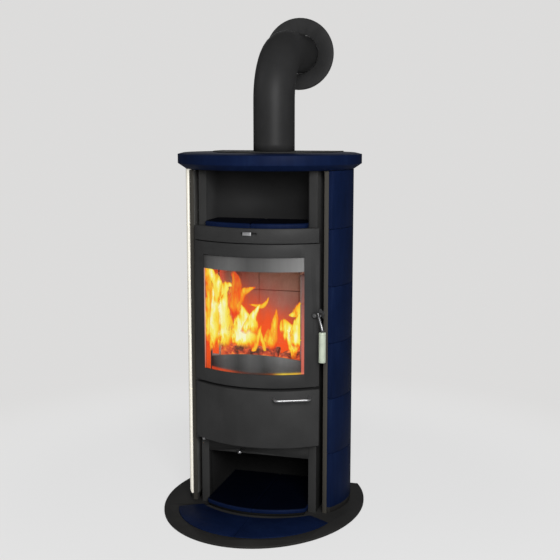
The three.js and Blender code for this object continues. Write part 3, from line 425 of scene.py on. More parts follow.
@dataclass(frozen=True)
class RolledSteel(Coat):
    """Dark rolled steel with painted reflections in broad upright bands, listed from left to right."""

    reflection_bands: tuple[Span, ...]
    half_width: float
    roughness: float = 0.42
    warmth: Colour = (1.0, 0.995, 0.985)

    def cover(self, graph: Graph, place: Flow) -> None:
        """Lays the painted reflection bands over the steel."""
        tone = self.tone(graph, place)
        graph.surface(Base_Color=tone, Roughness=self.roughness, Specular_IOR_Level=0.2)

    def tone(self, graph: Graph, place: Flow) -> Flow:
        """The grey at a place, banded with painted reflections and fine upright streaks."""
        across = graph.axes(place)[ACROSS] / (2.0 * self.half_width) + 0.5
        streak = graph.streaks(place, (1.0, 0.0, 0.03), 120.0, 2.0)
        # Painted reflections: the grey rises and falls across the face in the listed bands.
        shade = graph.ramp(across, *((at, scaled(self.warmth, grey)) for at, grey in self.reflection_bands))
        return graph.blend(streak.smooth(0.35, 0.7) * 0.12, shade, graph.blend(0.5, shade, BLACK))


@dataclass(frozen=True)
class TwoToneSteel(Coat):
    """Bright steel in front, and black paint on the plate behind it."""

    plate_front: float
    bright: Colour = (0.30, 0.30, 0.305)
    paint: Colour = (0.030, 0.030, 0.030)

    def cover(self, graph: Graph, place: Flow) -> None:
        """Paints the plate and brushes the rest."""
        arm = graph.axes(place)[ALONG] < self.plate_front
        lines = graph.streaks(place, (1.0, 1.0, 30.0), 55.0, 4.0)
        metal = graph.shaded(lines.smooth(0.25, 0.75), self.bright, 0.8)
        tone = graph.blend(arm, self.paint, metal)
        graph.surface(Base_Color=tone, Metallic=arm, Specular_IOR_Level=0.2)
        graph.surface(Roughness=0.5 - arm * 0.16 + lines * 0.1)
        graph.bump(lines, 0.12, 0.0001)


@dataclass(frozen=True)
class CastIron(Coat):
    """Rough cast iron with a sandy skin and a trace of ash."""

    ash: float = 0.2
    colour: Colour = (0.03, 0.03, 0.032)
    ash_colour: Colour = (0.24, 0.225, 0.21)

    def cover(self, graph: Graph, place: Flow) -> None:
        """Dusts the casting's skin with ash."""
        sand = graph.noise(place, 380.0, 4.0, 0.65)
        dust = graph.noise(place, 24.0, 4.0)
        tone = graph.blend(dust.smooth(0.5, 0.8) * self.ash, self.colour, self.ash_colour)
        graph.surface(Base_Color=tone, Roughness=0.7 + sand * 0.2, Metallic=0.35)
        graph.bump(sand, 0.6, 0.0004)


@dataclass(frozen=True)
class FireBrick(Coat):
    """Pressed fireclay, sooty towards the top and pitted all over."""

    clay: Colour = (0.345, 0.30, 0.285)
    soot: Colour = (0.17, 0.14, 0.13)
    soot_level: float = 0.82

    def cover(self, graph: Graph, place: Flow) -> None:
        """Soots and pits the clay."""
        up = graph.axes(place)[UP]
        patch = graph.noise(place, 12.0, 5.0, 0.6)
        grit = graph.noise(place, 260.0, 3.0)
        pits = graph.cells(place, 210.0)
        soot = ((up - self.soot_level) * 6.0 + patch * 1.4 - 0.55).clamped()
        clay = graph.shaded(grit.smooth(0.3, 0.7), self.clay, 0.82)
        tone = graph.blend(soot, clay, self.soot)
        graph.surface(Base_Color=tone, Roughness=0.92, Specular_IOR_Level=0.2)
        graph.bump(grit * 0.6 + pits.smooth(0.0, 0.25) * 0.4, 0.6, 0.0008)


@dataclass(frozen=True)
class StoveGlass(Coat):
    """Clear ceramic glass: a grey band printed along its top, banded with painted reflections, and upright
    edges that carry a painted glow of the fire's light.
    """

    band: RolledSteel
    smoke: Colour = (0.03, 0.028, 0.026)
    band_foot: float = 0.8805
    clear: float = 0.04
    hazed: float = 0.18
    foot: float = 0.5235
    film_height: float = 0.09
    edge: float = 0.1802
    edge_foot: float = 0.52
    edge_height: float = 0.36

    def cover(self, graph: Graph, place: Flow) -> None:
        """Films the pane near its foot, prints its band and paints a glow of the fire's light on its upright
        edges.
        """
        across, _, up = graph.axes(place)
        haze = graph.noise(place, 14.0, 4.0)
        film = (1.0 - (up - self.foot).smooth(0.0, self.film_height)) * haze.smooth(0.35, 0.8)
        printed = up > self.band_foot
        # Painted light: the upright edges glow through emission in the colours of the fire's light.
        upright = (abs(across) > self.edge) * (1.0 - printed)
        alpha = self.clear + film * (self.hazed - self.clear)
        solid = (printed + upright * 0.6).clamped()
        painted_fire_glow = graph.ramp(
            (up - self.edge_foot) / self.edge_height,
            (0.0, (0.90, 0.12, 0.05)),
            (0.25, (0.88, 0.38, 0.28)),
            (0.60, (0.90, 0.58, 0.46)),
            (1.0, (0.62, 0.30, 0.26)),
        )
        graph.surface(
            Base_Color=graph.blend(printed, self.smoke, self.band.tone(graph, place)),
            Alpha=alpha * (1.0 - solid) + solid,
            Roughness=0.05 + film * 0.2 + printed * 0.35,
            Emission_Color=graph.blend(upright, BLACK, painted_fire_glow),
            Emission_Strength=0.9,
            Specular_IOR_Level=0.25,
            IOR=1.5,
        )


@dataclass(frozen=True)
class RopeSeal(Coat):
    """Knitted glass rope, dark with use."""

    colour: Colour = (0.055, 0.052, 0.048)
    stitch: float = 420.0

    def cover(self, graph: Graph, place: Flow) -> None:
        """Knits the rope from crossed diagonal ribs."""
        across, along, up = graph.axes(place)
        ribs = ((across + along + up) * (self.stitch * math.tau)).sine()
        cross = ((across + along - up) * (self.stitch * math.tau)).sine()
        knit = ribs * cross * 0.5 + 0.5
        tone = graph.shaded(knit, self.colour, 0.55)
        graph.surface(Base_Color=tone, Roughness=0.95, Specular_IOR_Level=0.1)
        graph.bump(knit, 0.7, 0.0006)


@dataclass(frozen=True)
class GripEnamel(Coat):
    """Pale satin grip with faint handling marks."""

    colour: Colour = (0.60, 0.67, 0.54)

    def cover(self, graph: Graph, place: Flow) -> None:
        """Wears the satin surface."""
        wear = graph.noise(place, 60.0, 4.0)
        fine = graph.noise(place, 700.0, 2.0)
        tone = graph.shaded(wear.smooth(0.35, 0.75), self.colour, 1.0, 0.88)
        graph.surface(Base_Color=tone, Roughness=0.35 + wear * 0.15)
        graph.bump(fine, 0.15, 0.00005)


@dataclass(frozen=True)
class Flame(Coat):
    """Glowing gas: nearly white at the heart, yellow round it, orange and ragged at its edges."""

    def cover(self, graph: Graph, place: Flow) -> None:
        """Colours the flame by each ribbon's own map and heat."""
        chart = graph.node("UVMap", uv_map=FLAME_MAP)
        across, rise, _ = graph.axes(chart)
        heat = graph.node("Attribute", output="Fac", attribute_name=FLAME_HEAT)
        ragged = graph.streaks(place, (1.0, 0.4, 0.45), 34.0, 4.0, 0.6) - 0.5
        licks = graph.streaks(place, (1.0, 0.4, 0.22), 95.0, 3.0) - 0.5
        side = abs(across * 2.0 - 1.0 + ragged * 1.5 + licks * 0.7)
        tip = rise.smooth(0.72, 1.0)
        core = 1.0 - (side * side).clamped()
        root = 1.0 - (rise + ragged * 0.3).smooth(0.04, 0.20)
        warmth = heat * (0.46 + core * 0.50) - tip * 0.20 - root * 0.45 + ragged * 0.8 + licks * 0.7
        colour = graph.ramp(
            warmth,
            (0.12, (0.86, 0.055, 0.018)),
            (0.32, (1.0, 0.13, 0.018)),
            (0.50, (1.0, 0.33, 0.022)),
            (0.68, (1.0, 0.70, 0.05)),
            (0.84, (1.0, 0.90, 0.17)),
            (1.0, (1.0, 0.99, 0.62)),
        )
        body = (1.0 - side).smooth(0.0, 0.42)
        ends = (rise + ragged * 0.3).smooth(0.0, 0.14) * (1.0 - rise.smooth(0.90, 1.0))
        graph.glow(colour, (body * ends * (0.45 + heat * 0.75)).clamped())


@dataclass(frozen=True)
class FirelightHaze(Coat):
    """Red glow between the flames and the bricks, thinner upwards: partly hot gas, partly painted firelight
    on the bricks.
    """

    low: float
    high: float
    hot: Colour = (1.0, 0.105, 0.020)
    cool: Colour = (0.42, 0.060, 0.040)
    density: float = 0.95
    slant: float = 0.45

    def cover(self, graph: Graph, place: Flow) -> None:
        """Thins the glow upwards and clouds it."""
        across, _, up = graph.axes(place)
        cloud = graph.streaks(place, (1.0, 1.0, 0.35), 22.0, 4.0, 0.6)
        level = up + across * self.slant + (cloud - 0.5) * 0.16
        fall = 1.0 - level.smooth(self.low, self.high)
        colour = graph.blend((fall + (cloud - 0.5) * 0.9).smooth(0.15, 0.85), self.cool, self.hot)
        graph.glow(colour, (fall * self.density).clamped())


@dataclass(frozen=True)
class FootGlow(Coat):
    """The fire's light along the foot of the log guard, red on the left and yellow on the right."""

    low: float = 0.5145
    high: float = 0.5225
    half_width: float = 0.182
    shift: float = 0.007
    strength: float = 0.9

    def cover(self, graph: Graph, place: Flow) -> None:
        """Colours the glow from left to right and dims it in the middle."""
        across, _, up = graph.axes(place)
        colour = graph.ramp(
            (across + self.shift) / (2.0 * self.half_width) + 0.5,
            (0.0, (0.90, 0.07, 0.02)),
            (0.28, (0.62, 0.10, 0.04)),
            (0.50, (0.10, 0.02, 0.01)),
            (0.70, (0.35, 0.10, 0.03)),
            (0.80, (1.0, 0.72, 0.08)),
            (0.91, (1.0, 0.60, 0.06)),
            (1.0, (0.60, 0.16, 0.10)),
        )
        reach = 0.35 + abs(across + 0.01).smooth(0.03, 0.10) * 0.65
        graph.glow(colour, ((1.0 - up.smooth(self.low, self.high)) * reach).clamped(), self.strength)


@dataclass(frozen=True)
class Ember(Coat):
    """Charred wood that glows in its cracks."""

    bark: Colour = (0.035, 0.022, 0.015)
    glow_level: float = 0.53
    glow_height: float = 0.05

    def cover(self, graph: Graph, place: Flow) -> None:
        """Chars the wood and lights its cracks and its foot."""
        up = graph.axes(place)[UP]
        cracks = graph.cells(place, 70.0)
        fissure = 1.0 - (abs(graph.noise(place, 48.0, 5.0, 0.6) - 0.5) * 14.0).clamped()
        heat = graph.noise(place, 17.0, 4.0, 0.6)
        low = 1.0 - (up - self.glow_level).smooth(0.0, self.glow_height)
        glow = heat.smooth(0.42, 0.68) * 0.55 + fissure * heat * 0.45 + low * heat * 0.5
        colour = graph.ramp(
            glow,
            (0.10, (0.05, 0.006, 0.005)),
            (0.45, (0.62, 0.06, 0.02)),
            (0.85, (1.0, 0.30, 0.04)),
        )
        char = graph.shaded(cracks.smooth(0.1, 0.6), self.bark, 1.0, 1.9)
        graph.surface(Base_Color=char, Roughness=0.9, Emission_Color=colour, Emission_Strength=1.0)
        graph.bump(cracks, 0.8, 0.002)


# Painted reflection bands across the glass's printed band and across the log guard: place and grey.
GLASS_REFLECTION_BANDS = (
    (0.0, 0.085), (0.15, 0.125), (0.30, 0.155), (0.48, 0.095),
    (0.64, 0.125), (0.82, 0.20), (1.0, 0.29),
)
GUARD_REFLECTION_BANDS = (
    (0.0, 0.07), (0.06, 0.13), (0.17, 0.20), (0.33, 0.085),
    (0.46, 0.15), (0.60, 0.09), (0.76, 0.17), (1.0, 0.09),
)


class Finish(Enum):
    """Every finish on the stove."""

    BODY_BLACK = StovePaint("body_black", (0.037, 0.037, 0.0365))
    DOOR_BLACK = StovePaint("door_black", (0.040, 0.040, 0.040), 0.50)
    FLUE_BLACK = StovePaint("flue_black", (0.030, 0.030, 0.0305), 0.50, sheen=0.18)
    NICHE_BLACK = StovePaint("niche_black", (0.022, 0.022, 0.0222), 0.6, sheen=0.08)
    PLATE_BLACK = StovePaint("plate_black", (0.027, 0.0265, 0.026), 0.65, 420.0, 0.0001, 0.10)
    DEEP_BLACK = StovePaint("deep_black", (0.010, 0.010, 0.010), 0.8, 420.0, 0.0001, 0.05)
    BRACKET_GREY = StovePaint("bracket_grey", (0.075, 0.075, 0.076), 0.4, sheen=0.4)
    FRAME_GREY = FrameSteel("frame_grey")
    GLAZE = BlueGlaze("blue_glaze")
    # Painted shade over the tops of the recessed shelf and log floor tiles.
    SHELF_GLAZE = BlueGlaze("shelf_glaze", shaded_above=1.0453)
    LOG_GLAZE = BlueGlaze("log_floor_glaze", shaded_above=0.034)
    # Cream painted glare, with a painted glow, on the front ends of the left tiles.
    GLAZE_RAW_ENDS = BlueGlaze("blue_glaze_glare_ends", painted_glare=CREAM)
    IRON = CastIron("cast_iron")
    HOT_IRON = CastIron("hot_iron", 0.7)
    BRICK = FireBrick("fire_brick")
    GLASS = StoveGlass("stove_glass", RolledSteel("printed_band", GLASS_REFLECTION_BANDS, 0.182))
    ROPE = RopeSeal("rope_seal")
    CHROME = BareSteel("chrome", (0.62, 0.62, 0.63), 0.38, (40.0, 1.0, 1.0))
    SATIN = BareSteel("satin_steel", (0.62, 0.62, 0.63), 0.30, (30.0, 30.0, 1.0))
    PAN_STEEL = BareSteel("pan_steel", (0.22, 0.22, 0.225), 0.42, (1.0, 40.0, 1.0))
    RETAINER = BareSteel("retainer_steel", (0.30, 0.295, 0.29), 0.32, (14.0, 14.0, 0.6), 0.25)
    LEVER = TwoToneSteel("lever_steel", -0.2515)
    SLIDER = TwoToneSteel("slider_steel", -0.3105, (0.78, 0.78, 0.80))
    GUARD = RolledSteel("log_guard_steel", GUARD_REFLECTION_BANDS, 0.176)
    GRIP = GripEnamel("pale_grip")
    FLAME = Flame("flame")
    # Haze sheets: partly glowing hot gas, partly painted firelight over the lining and the window's edges.
    HAZE = FirelightHaze("red_haze", 0.60, 0.86)
    EDGE_HAZE = FirelightHaze("edge_haze", 0.60, 1.10, density=0.9)
    THIN_HAZE = FirelightHaze("thin_haze", 0.62, 1.08, (0.90, 0.21, 0.15), (0.50, 0.19, 0.16), 0.72)
    WALL_HAZE = FirelightHaze("wall_haze", 0.22, 0.46, (0.78, 0.10, 0.05), (0.42, 0.05, 0.03), 0.8, 4.0)
    FOOT_GLOW = FootGlow("foot_glow")
    EMBER = Ember("ember")

    @property
    def material(self) -> bpy.types.Material:
        """The material of this finish, made once."""
        made = bpy.data.materials.get(FINISH_PREFIX + self.value.name)
        return made or self.value.material()


# ---- Modelling helpers ----


def deselect_all() -> None:
    """Leaves nothing selected."""
    if bpy.context.object and bpy.context.object.mode != "OBJECT":
        bpy.ops.object.mode_set(mode="OBJECT")
    bpy.ops.object.select_all(action="DESELECT")


def choose(piece: Piece) -> None:
    """Makes one piece the only selected and active one."""
    deselect_all()
    piece.select_set(True)
    bpy.context.view_layer.objects.active = piece


def added(add: Callable[..., object], name: str, **settings: object) -> Piece:
    """Adds a blank piece by one of Blender's operators and names it."""
    deselect_all()
    add(**settings)
    piece = bpy.context.object
    piece.name = name
    return piece


def settle(piece: Piece) -> None:
    """Moves a piece's place, turn and size into its mesh."""
    choose(piece)
    bpy.ops.object.transform_apply(location=True, rotation=True, scale=True)


def modify(piece: Piece, kind: str, **settings: object) -> str:
    """Adds a modifier.

    Args:
        piece: the mesh object.
        kind: the modifier's type, such as "BEVEL".
        settings: the modifier's attributes.

    Returns:
        The modifier's name.
    """
    modifier = piece.modifiers.new(kind.lower(), kind)
    for key, value in settings.items():
        setattr(modifier, key, value)
    return modifier.name


def reshape(piece: Piece, kind: str, **settings: object) -> None:
    """Adds a modifier and applies it."""
    choose(piece)
    bpy.ops.object.modifier_apply(modifier=modify(piece, kind, **settings))


def select_faces(piece: Piece, wanted: Callable[[Vector], bool]) -> None:
    """Opens edit mode with the wanted faces selected.

    Args:
        piece: the mesh object.
        wanted: tells from a face's normal whether it is selected.
    """
    choose(piece)
    bpy.ops.object.mode_set(mode="EDIT")
    bpy.ops.mesh.select_mode(type="FACE")
    bpy.ops.mesh.select_all(action="DESELECT")
    mesh = bmesh.from_edit_mesh(piece.data)
    for face in mesh.faces:
        face.select_set(wanted(face.normal))
    bmesh.update_edit_mesh(piece.data)


def joined(name: str, pieces: Sequence[Piece]) -> Piece:
    """One piece made of several."""
    deselect_all()
    for piece in pieces:
        piece.select_set(True)
    bpy.context.view_layer.objects.active = pieces[0]
    bpy.ops.object.join()
    pieces[0].name = name
    return pieces[0]


def copy_of(piece: Piece) -> Piece:
    """A copy with its own mesh."""
    twin = piece.copy()
    twin.data = piece.data.copy()
    bpy.context.collection.objects.link(twin)
    return twin


def smooth(piece: Piece, degrees: float = 35.0) -> None:
    """Shades a piece smoothly, with sharp edges above an angle."""
    choose(piece)
    bpy.ops.object.shade_smooth_by_angle(angle=math.radians(degrees))


def finished(piece: Piece, finish: Finish, body: str) -> None:
    """Dresses a new piece and lets it ride on its body.

    Args:
        piece: the piece, in its place.
        finish: its finish.
        body: the body that it moves with.
    """
    settle(piece)
    piece.data.materials.clear()
    piece.data.materials.append(finish.material)
    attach(piece, body)
    log.info("piece %s on %s", piece.name, body)


def block(name: str, low: Point, high: Point) -> Piece:
    """A rectangular block between two corners, in metres."""
    centre = [(a + b) / 2 for a, b in zip(low, high)]
    piece = added(bpy.ops.mesh.primitive_cube_add, name, size=1.0, location=centre)
    piece.scale = [b - a for a, b in zip(low, high)]
    settle(piece)
    return piece


def gridded(name: str, columns: int, rows: int) -> Piece:
    """A flat sheet one metre square, divided into columns and rows."""
    return added(bpy.ops.mesh.primitive_grid_add, name, x_subdivisions=columns, y_subdivisions=rows, size=1.0)


def turned(name: str, profile: Sequence[Span], centre: Point, steps: int = 48) -> Piece:
    """A body of revolution about an upright axis.

    Args:
        name: the piece's name.
        profile: radius and height pairs from the lower pole to the upper one, in metres.
        centre: where the axis stands.
        steps: how many steps go round.

    Returns:
        The closed, turned piece.
    """
    piece = added(bpy.ops.mesh.primitive_plane_add, name, size=1.0)
    mesh = bmesh.new()
    points = [mesh.verts.new((radius, 0.0, height)) for radius, height in profile]
    for ends in pairwise(points):
        mesh.edges.new(ends)
    mesh.to_mesh(piece.data)
    mesh.free()
    bpy.ops.object.mode_set(mode="EDIT")
    bpy.ops.mesh.select_all(action="SELECT")
    bpy.ops.mesh.spin(steps=steps, angle=math.tau, center=(0.0, 0.0, 0.0), axis=(0.0, 0.0, 1.0))
    bpy.ops.mesh.select_all(action="SELECT")
    bpy.ops.mesh.remove_doubles(threshold=1e-6)
    bpy.ops.mesh.normals_make_consistent(inside=False)
    bpy.ops.object.mode_set(mode="OBJECT")
    piece.location = centre
    settle(piece)
    return piece


@dataclass
class Dresser:
    """Gives CAD nodes their finishes and eases their edges."""

    nodes: dict[str, Piece]
    weld_distance: float = 1e-5
    edge_degrees: float = 28.0

    def dress(self, name: str, finish: Finish, ease_mm: float = 0.0, segments: int = 2) -> None:
        """Dresses one node.

        Args:
            name: the node.
            finish: its finish.
            ease_mm: the width of its rounded edges; none when zero.
            segments: how many faces round each edge.
        """
        node = self.nodes[name]
        node.data.materials.clear()
        node.data.materials.append(finish.material)
        node.data.shade_smooth()
        modify(node, "WELD", merge_threshold=self.weld_distance)
        if ease_mm:
            ease = {"width": ease_mm * MM, "segments": segments, "harden_normals": True}
            modify(node, "BEVEL", **ease, limit_method="ANGLE", angle_limit=math.radians(self.edge_degrees))
        log.info("dressed %s in %s", name, finish.value.name)

    def dress_all(self, names: Iterable[str], finish: Finish, ease_mm: float = 0.0) -> None:
        """Dresses several nodes alike."""
        for name in names:
            self.dress(name, finish, ease_mm)


# ---- The stove's parts ----


@dataclass
class Shell:
    """Cladding, top, floor and carcass, whose solids carry over with eased edges."""

    dresser: Dresser
    tile_rows: int = 6
    tile_ease_mm: float = 2.4
    recess_ease_mm: float = 2.5
    slab_ease_mm: float = 1.5
    plate_ease_mm: float = 1.2
    fascia_ease_mm: float = 1.0
    sheet_ease_mm: float = 0.6
    grille_ease_mm: float = 0.5

    def build(self) -> None:
        """Dresses every fixed piece of the shell."""
        dress = self.dresser.dress
        for side, finish in (("right", Finish.GLAZE), ("left", Finish.GLAZE_RAW_ENDS)):
            for row in range(1, self.tile_rows + 1):
                dress(f"side_tile_{side}_{row}", finish, self.tile_ease_mm, 3)
            dress(f"shelf_tile_{side}", Finish.SHELF_GLAZE, self.recess_ease_mm, 3)
            dress(f"log_floor_tile_{side}", Finish.LOG_GLAZE, self.recess_ease_mm, 3)
            dress(f"floor_tile_{side}", Finish.GLAZE, self.plate_ease_mm)
            dress(f"cladding_frame_{side}", Finish.FRAME_GREY, self.sheet_ease_mm)
            dress(f"carcass_side_{side}", Finish.BODY_BLACK, self.sheet_ease_mm)
        dress("top_plate", Finish.GLAZE, self.slab_ease_mm, 3)
        dress("top_grille", Finish.BODY_BLACK, self.grille_ease_mm, 1)
        dress("floor_plate", Finish.PLATE_BLACK, self.slab_ease_mm)
        dress("fascia", Finish.DOOR_BLACK, self.fascia_ease_mm)
        dress("wall_rosette", Finish.FLUE_BLACK, self.plate_ease_mm)
        dress("flue_bend", Finish.FLUE_BLACK)
        dress("log_lining", Finish.DEEP_BLACK)
        dress("niche_lining", Finish.NICHE_BLACK)
        self.dresser.dress_all(("back_panel", "front_plate", "lintel_deck"), Finish.BODY_BLACK)
        self.dresser.dress_all(("firebox", "ash_box", "flue_spigot"), Finish.IRON)


@dataclass
class Doors:
    """Both doors with their glass, seals, handles, hinges and catch, and the air controls."""

    dresser: Dresser
    door_ease_mm: float = 1.0
    slider_ease_mm: float = 0.6
    lever_ease_mm: float = 0.5
    catch_ease_mm: float = 0.4
    grip_groove: float = 9.0 * MM
    groove_depth: float = 1.1 * MM
    groove_half: float = 0.9 * MM
    grip_round: float = 2.0 * MM
    grip_shoulder: float = 0.6 * MM
    bolt_diameter: float = 14.0 * MM
    bolt_height: float = 12.0 * MM
    bolt_inset: float = 12.0 * MM

    def build(self) -> None:
        """Dresses doors and controls, and makes the grip and the hinge's cap nut."""
        dress, dress_all = self.dresser.dress, self.dresser.dress_all
        dress_all(("fire_door", "ash_door"), Finish.DOOR_BLACK, self.door_ease_mm)
        dress_all(("glass_seal", "door_seal"), Finish.ROPE)
        brackets = (f"hinge_bracket_{place}" for place in ("top", "middle", "bottom"))
        dress_all(brackets, Finish.DOOR_BLACK, self.lever_ease_mm)
        dress_all(("door_catch", "lever_pivot"), Finish.BRACKET_GREY, self.catch_ease_mm)
        dress("door_lever", Finish.LEVER, self.lever_ease_mm)
        dress("air_slider", Finish.SLIDER, self.slider_ease_mm)
        dress("ash_pan", Finish.PAN_STEEL, self.catch_ease_mm)
        dress("door_glass", Finish.GLASS)
        dress("glass_retainer", Finish.RETAINER)
        dress("ash_door_handle", Finish.CHROME)
        dress("air_rod", Finish.SATIN)
        self._grip()
        self._bolt()

    def _grip(self) -> None:
        """Turns the pale grip with a groove near each end."""
        low, high = (Vector(corner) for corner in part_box("door_grip"))
        radius = (high.x - low.x) / 2
        length = high.z - low.z
        waist = radius - self.groove_depth
        flat = self.groove_half * 0.4
        end, shoulder = self.grip_round, self.grip_shoulder
        profile = [(0.0, 0.0), (radius - end, 0.0), (radius - shoulder, shoulder), (radius, end)]
        for middle in (self.grip_groove, length - self.grip_groove):
            profile += [(radius, middle - self.groove_half), (waist, middle - flat)]
            profile += [(waist, middle + flat), (radius, middle + self.groove_half)]
        profile += [(radius, length - end), (radius - shoulder, length - shoulder)]
        profile += [(radius - end, length), (0.0, length)]
        centre = ((low.x + high.x) / 2, (low.y + high.y) / 2, low.z)
        grip = turned("grip_body", profile, centre)
        smooth(grip, 30)
        finished(grip, Finish.GRIP, "door_lever")
        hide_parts("door_grip")

    def _bolt(self) -> None:
        """Turns the chrome cap nut that closes the lowest hinge from below."""
        low, high = (Vector(corner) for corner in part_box("hinge_bracket_bottom"))
        radius = self.bolt_diameter / 2
        waist = radius * 0.72
        dome = ((0.0, 1.0), (waist * 0.55, 0.97), (waist * 0.9, 0.80), (waist, 0.55), (waist, 0.38))
        profile = [(reach, -self.bolt_height * drop) for reach, drop in (*dome, (radius, 0.36))]
        profile += [(radius, 0.0), (0.0, 0.0)]
        centre = (high.x - self.bolt_inset, low.y + radius, low.z)
        bolt = turned("hinge_cap_nut", profile, centre, 32)
        smooth(bolt, 40)
        finished(bolt, Finish.CHROME, "stove")


@dataclass
class Brickwork:
    """Fireclay lining, laid as bricks with open joints over the plain slabs."""

    dresser: Dresser
    joint: float = 2.0 * MM
    ease: float = 2.0 * MM
    slab_ease_mm: float = 1.5
    iron_ease_mm: float = 0.8
    courses: tuple[float, ...] = (0.0, 0.36, 0.72, 1.0)
    back_columns: tuple[float, ...] = (0.0, 0.28, 0.72, 1.0)
    side_columns: tuple[float, ...] = (0.0, 0.5, 1.0)

    def build(self) -> None:
        """Lays the three walls and dresses the rest of the chamber."""
        self._wall("back_brick", self.back_columns, ACROSS)
        self._wall("side_brick_right", self.side_columns, ALONG)
        self._wall("side_brick_left", self.side_columns, ALONG)
        self.dresser.dress_all(("hearth_brick", "baffle_plate"), Finish.BRICK, self.slab_ease_mm)
        self.dresser.dress("grate", Finish.HOT_IRON, self.iron_ease_mm)
        self.dresser.dress("log_guard", Finish.GUARD, self.iron_ease_mm)

    def _wall(self, node: str, columns: Sequence[float], run: int) -> None:
        """Replaces one slab with bricks.

        Args:
            node: the slab.
            columns: where the upright joints lie along the wall, as shares of its length.
            run: the axis along the wall.
        """
        low, high = (Vector(corner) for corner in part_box(node))
        size = high - low
        bricks = []
        for row, course in enumerate(pairwise(self.courses)):
            for column, bay in enumerate(pairwise(columns)):
                near, far = low.copy(), high.copy()
                for axis, (start, end) in ((UP, course), (run, bay)):
                    near[axis] = low[axis] + start * size[axis]
                    far[axis] = low[axis] + end * size[axis] - (self.joint if end < 1.0 else 0.0)
                brick = block(f"{node}_{row}_{column}", tuple(near), tuple(far))
                reshape(brick, "BEVEL", width=self.ease, segments=3, limit_method="ANGLE")
                bricks.append(brick)
        wall = joined(f"{node}_laid", bricks)
        smooth(wall)
        finished(wall, Finish.BRICK, "stove")
        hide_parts(node)


@dataclass(frozen=True)
class Ribbon:
    """One flame: a sheet that follows a spine from its root to its tip, in millimetres."""

    depth: float
    heat: float
    spine: tuple[tuple[float, float, float], ...]

    def at(self, rise: float) -> tuple[float, float, float]:
        """Where the spine is at a share of its run, and half the sheet's width there.

        Args:
            rise: zero at the root and one at the tip.

        Returns:
            The place across, the height and the half width.
        """
        last = len(self.spine) - 1
        whole = min(int(rise * last), last - 1)
        share = rise * last - whole
        near = (self.spine[min(max(whole + step, 0), last)] for step in (-1, 0, 1, 2))
        found = []
        for a, b, c, d in zip(*near):
            bend = (2 * a - 5 * b + 4 * c - d) * share**2
            twist = (3 * b - a - 3 * c + d) * share**3
            found.append(0.5 * (2 * b + (c - a) * share + bend + twist))
        return tuple(found)


@dataclass(frozen=True)
class Log:
    """One log: its place over the hearth, its tilt from upright and its heading, in degrees."""

    place: Point
    tilt: float
    heading: float
    radius: float
    length: float


@dataclass(frozen=True)
class Gas:
    """One sheet of haze and painted firelight: its left and right edges, its depth, its foot and head, and
    its finish.
    """

    name: str
    across: Span
    depth: float
    level: Span
    finish: Finish


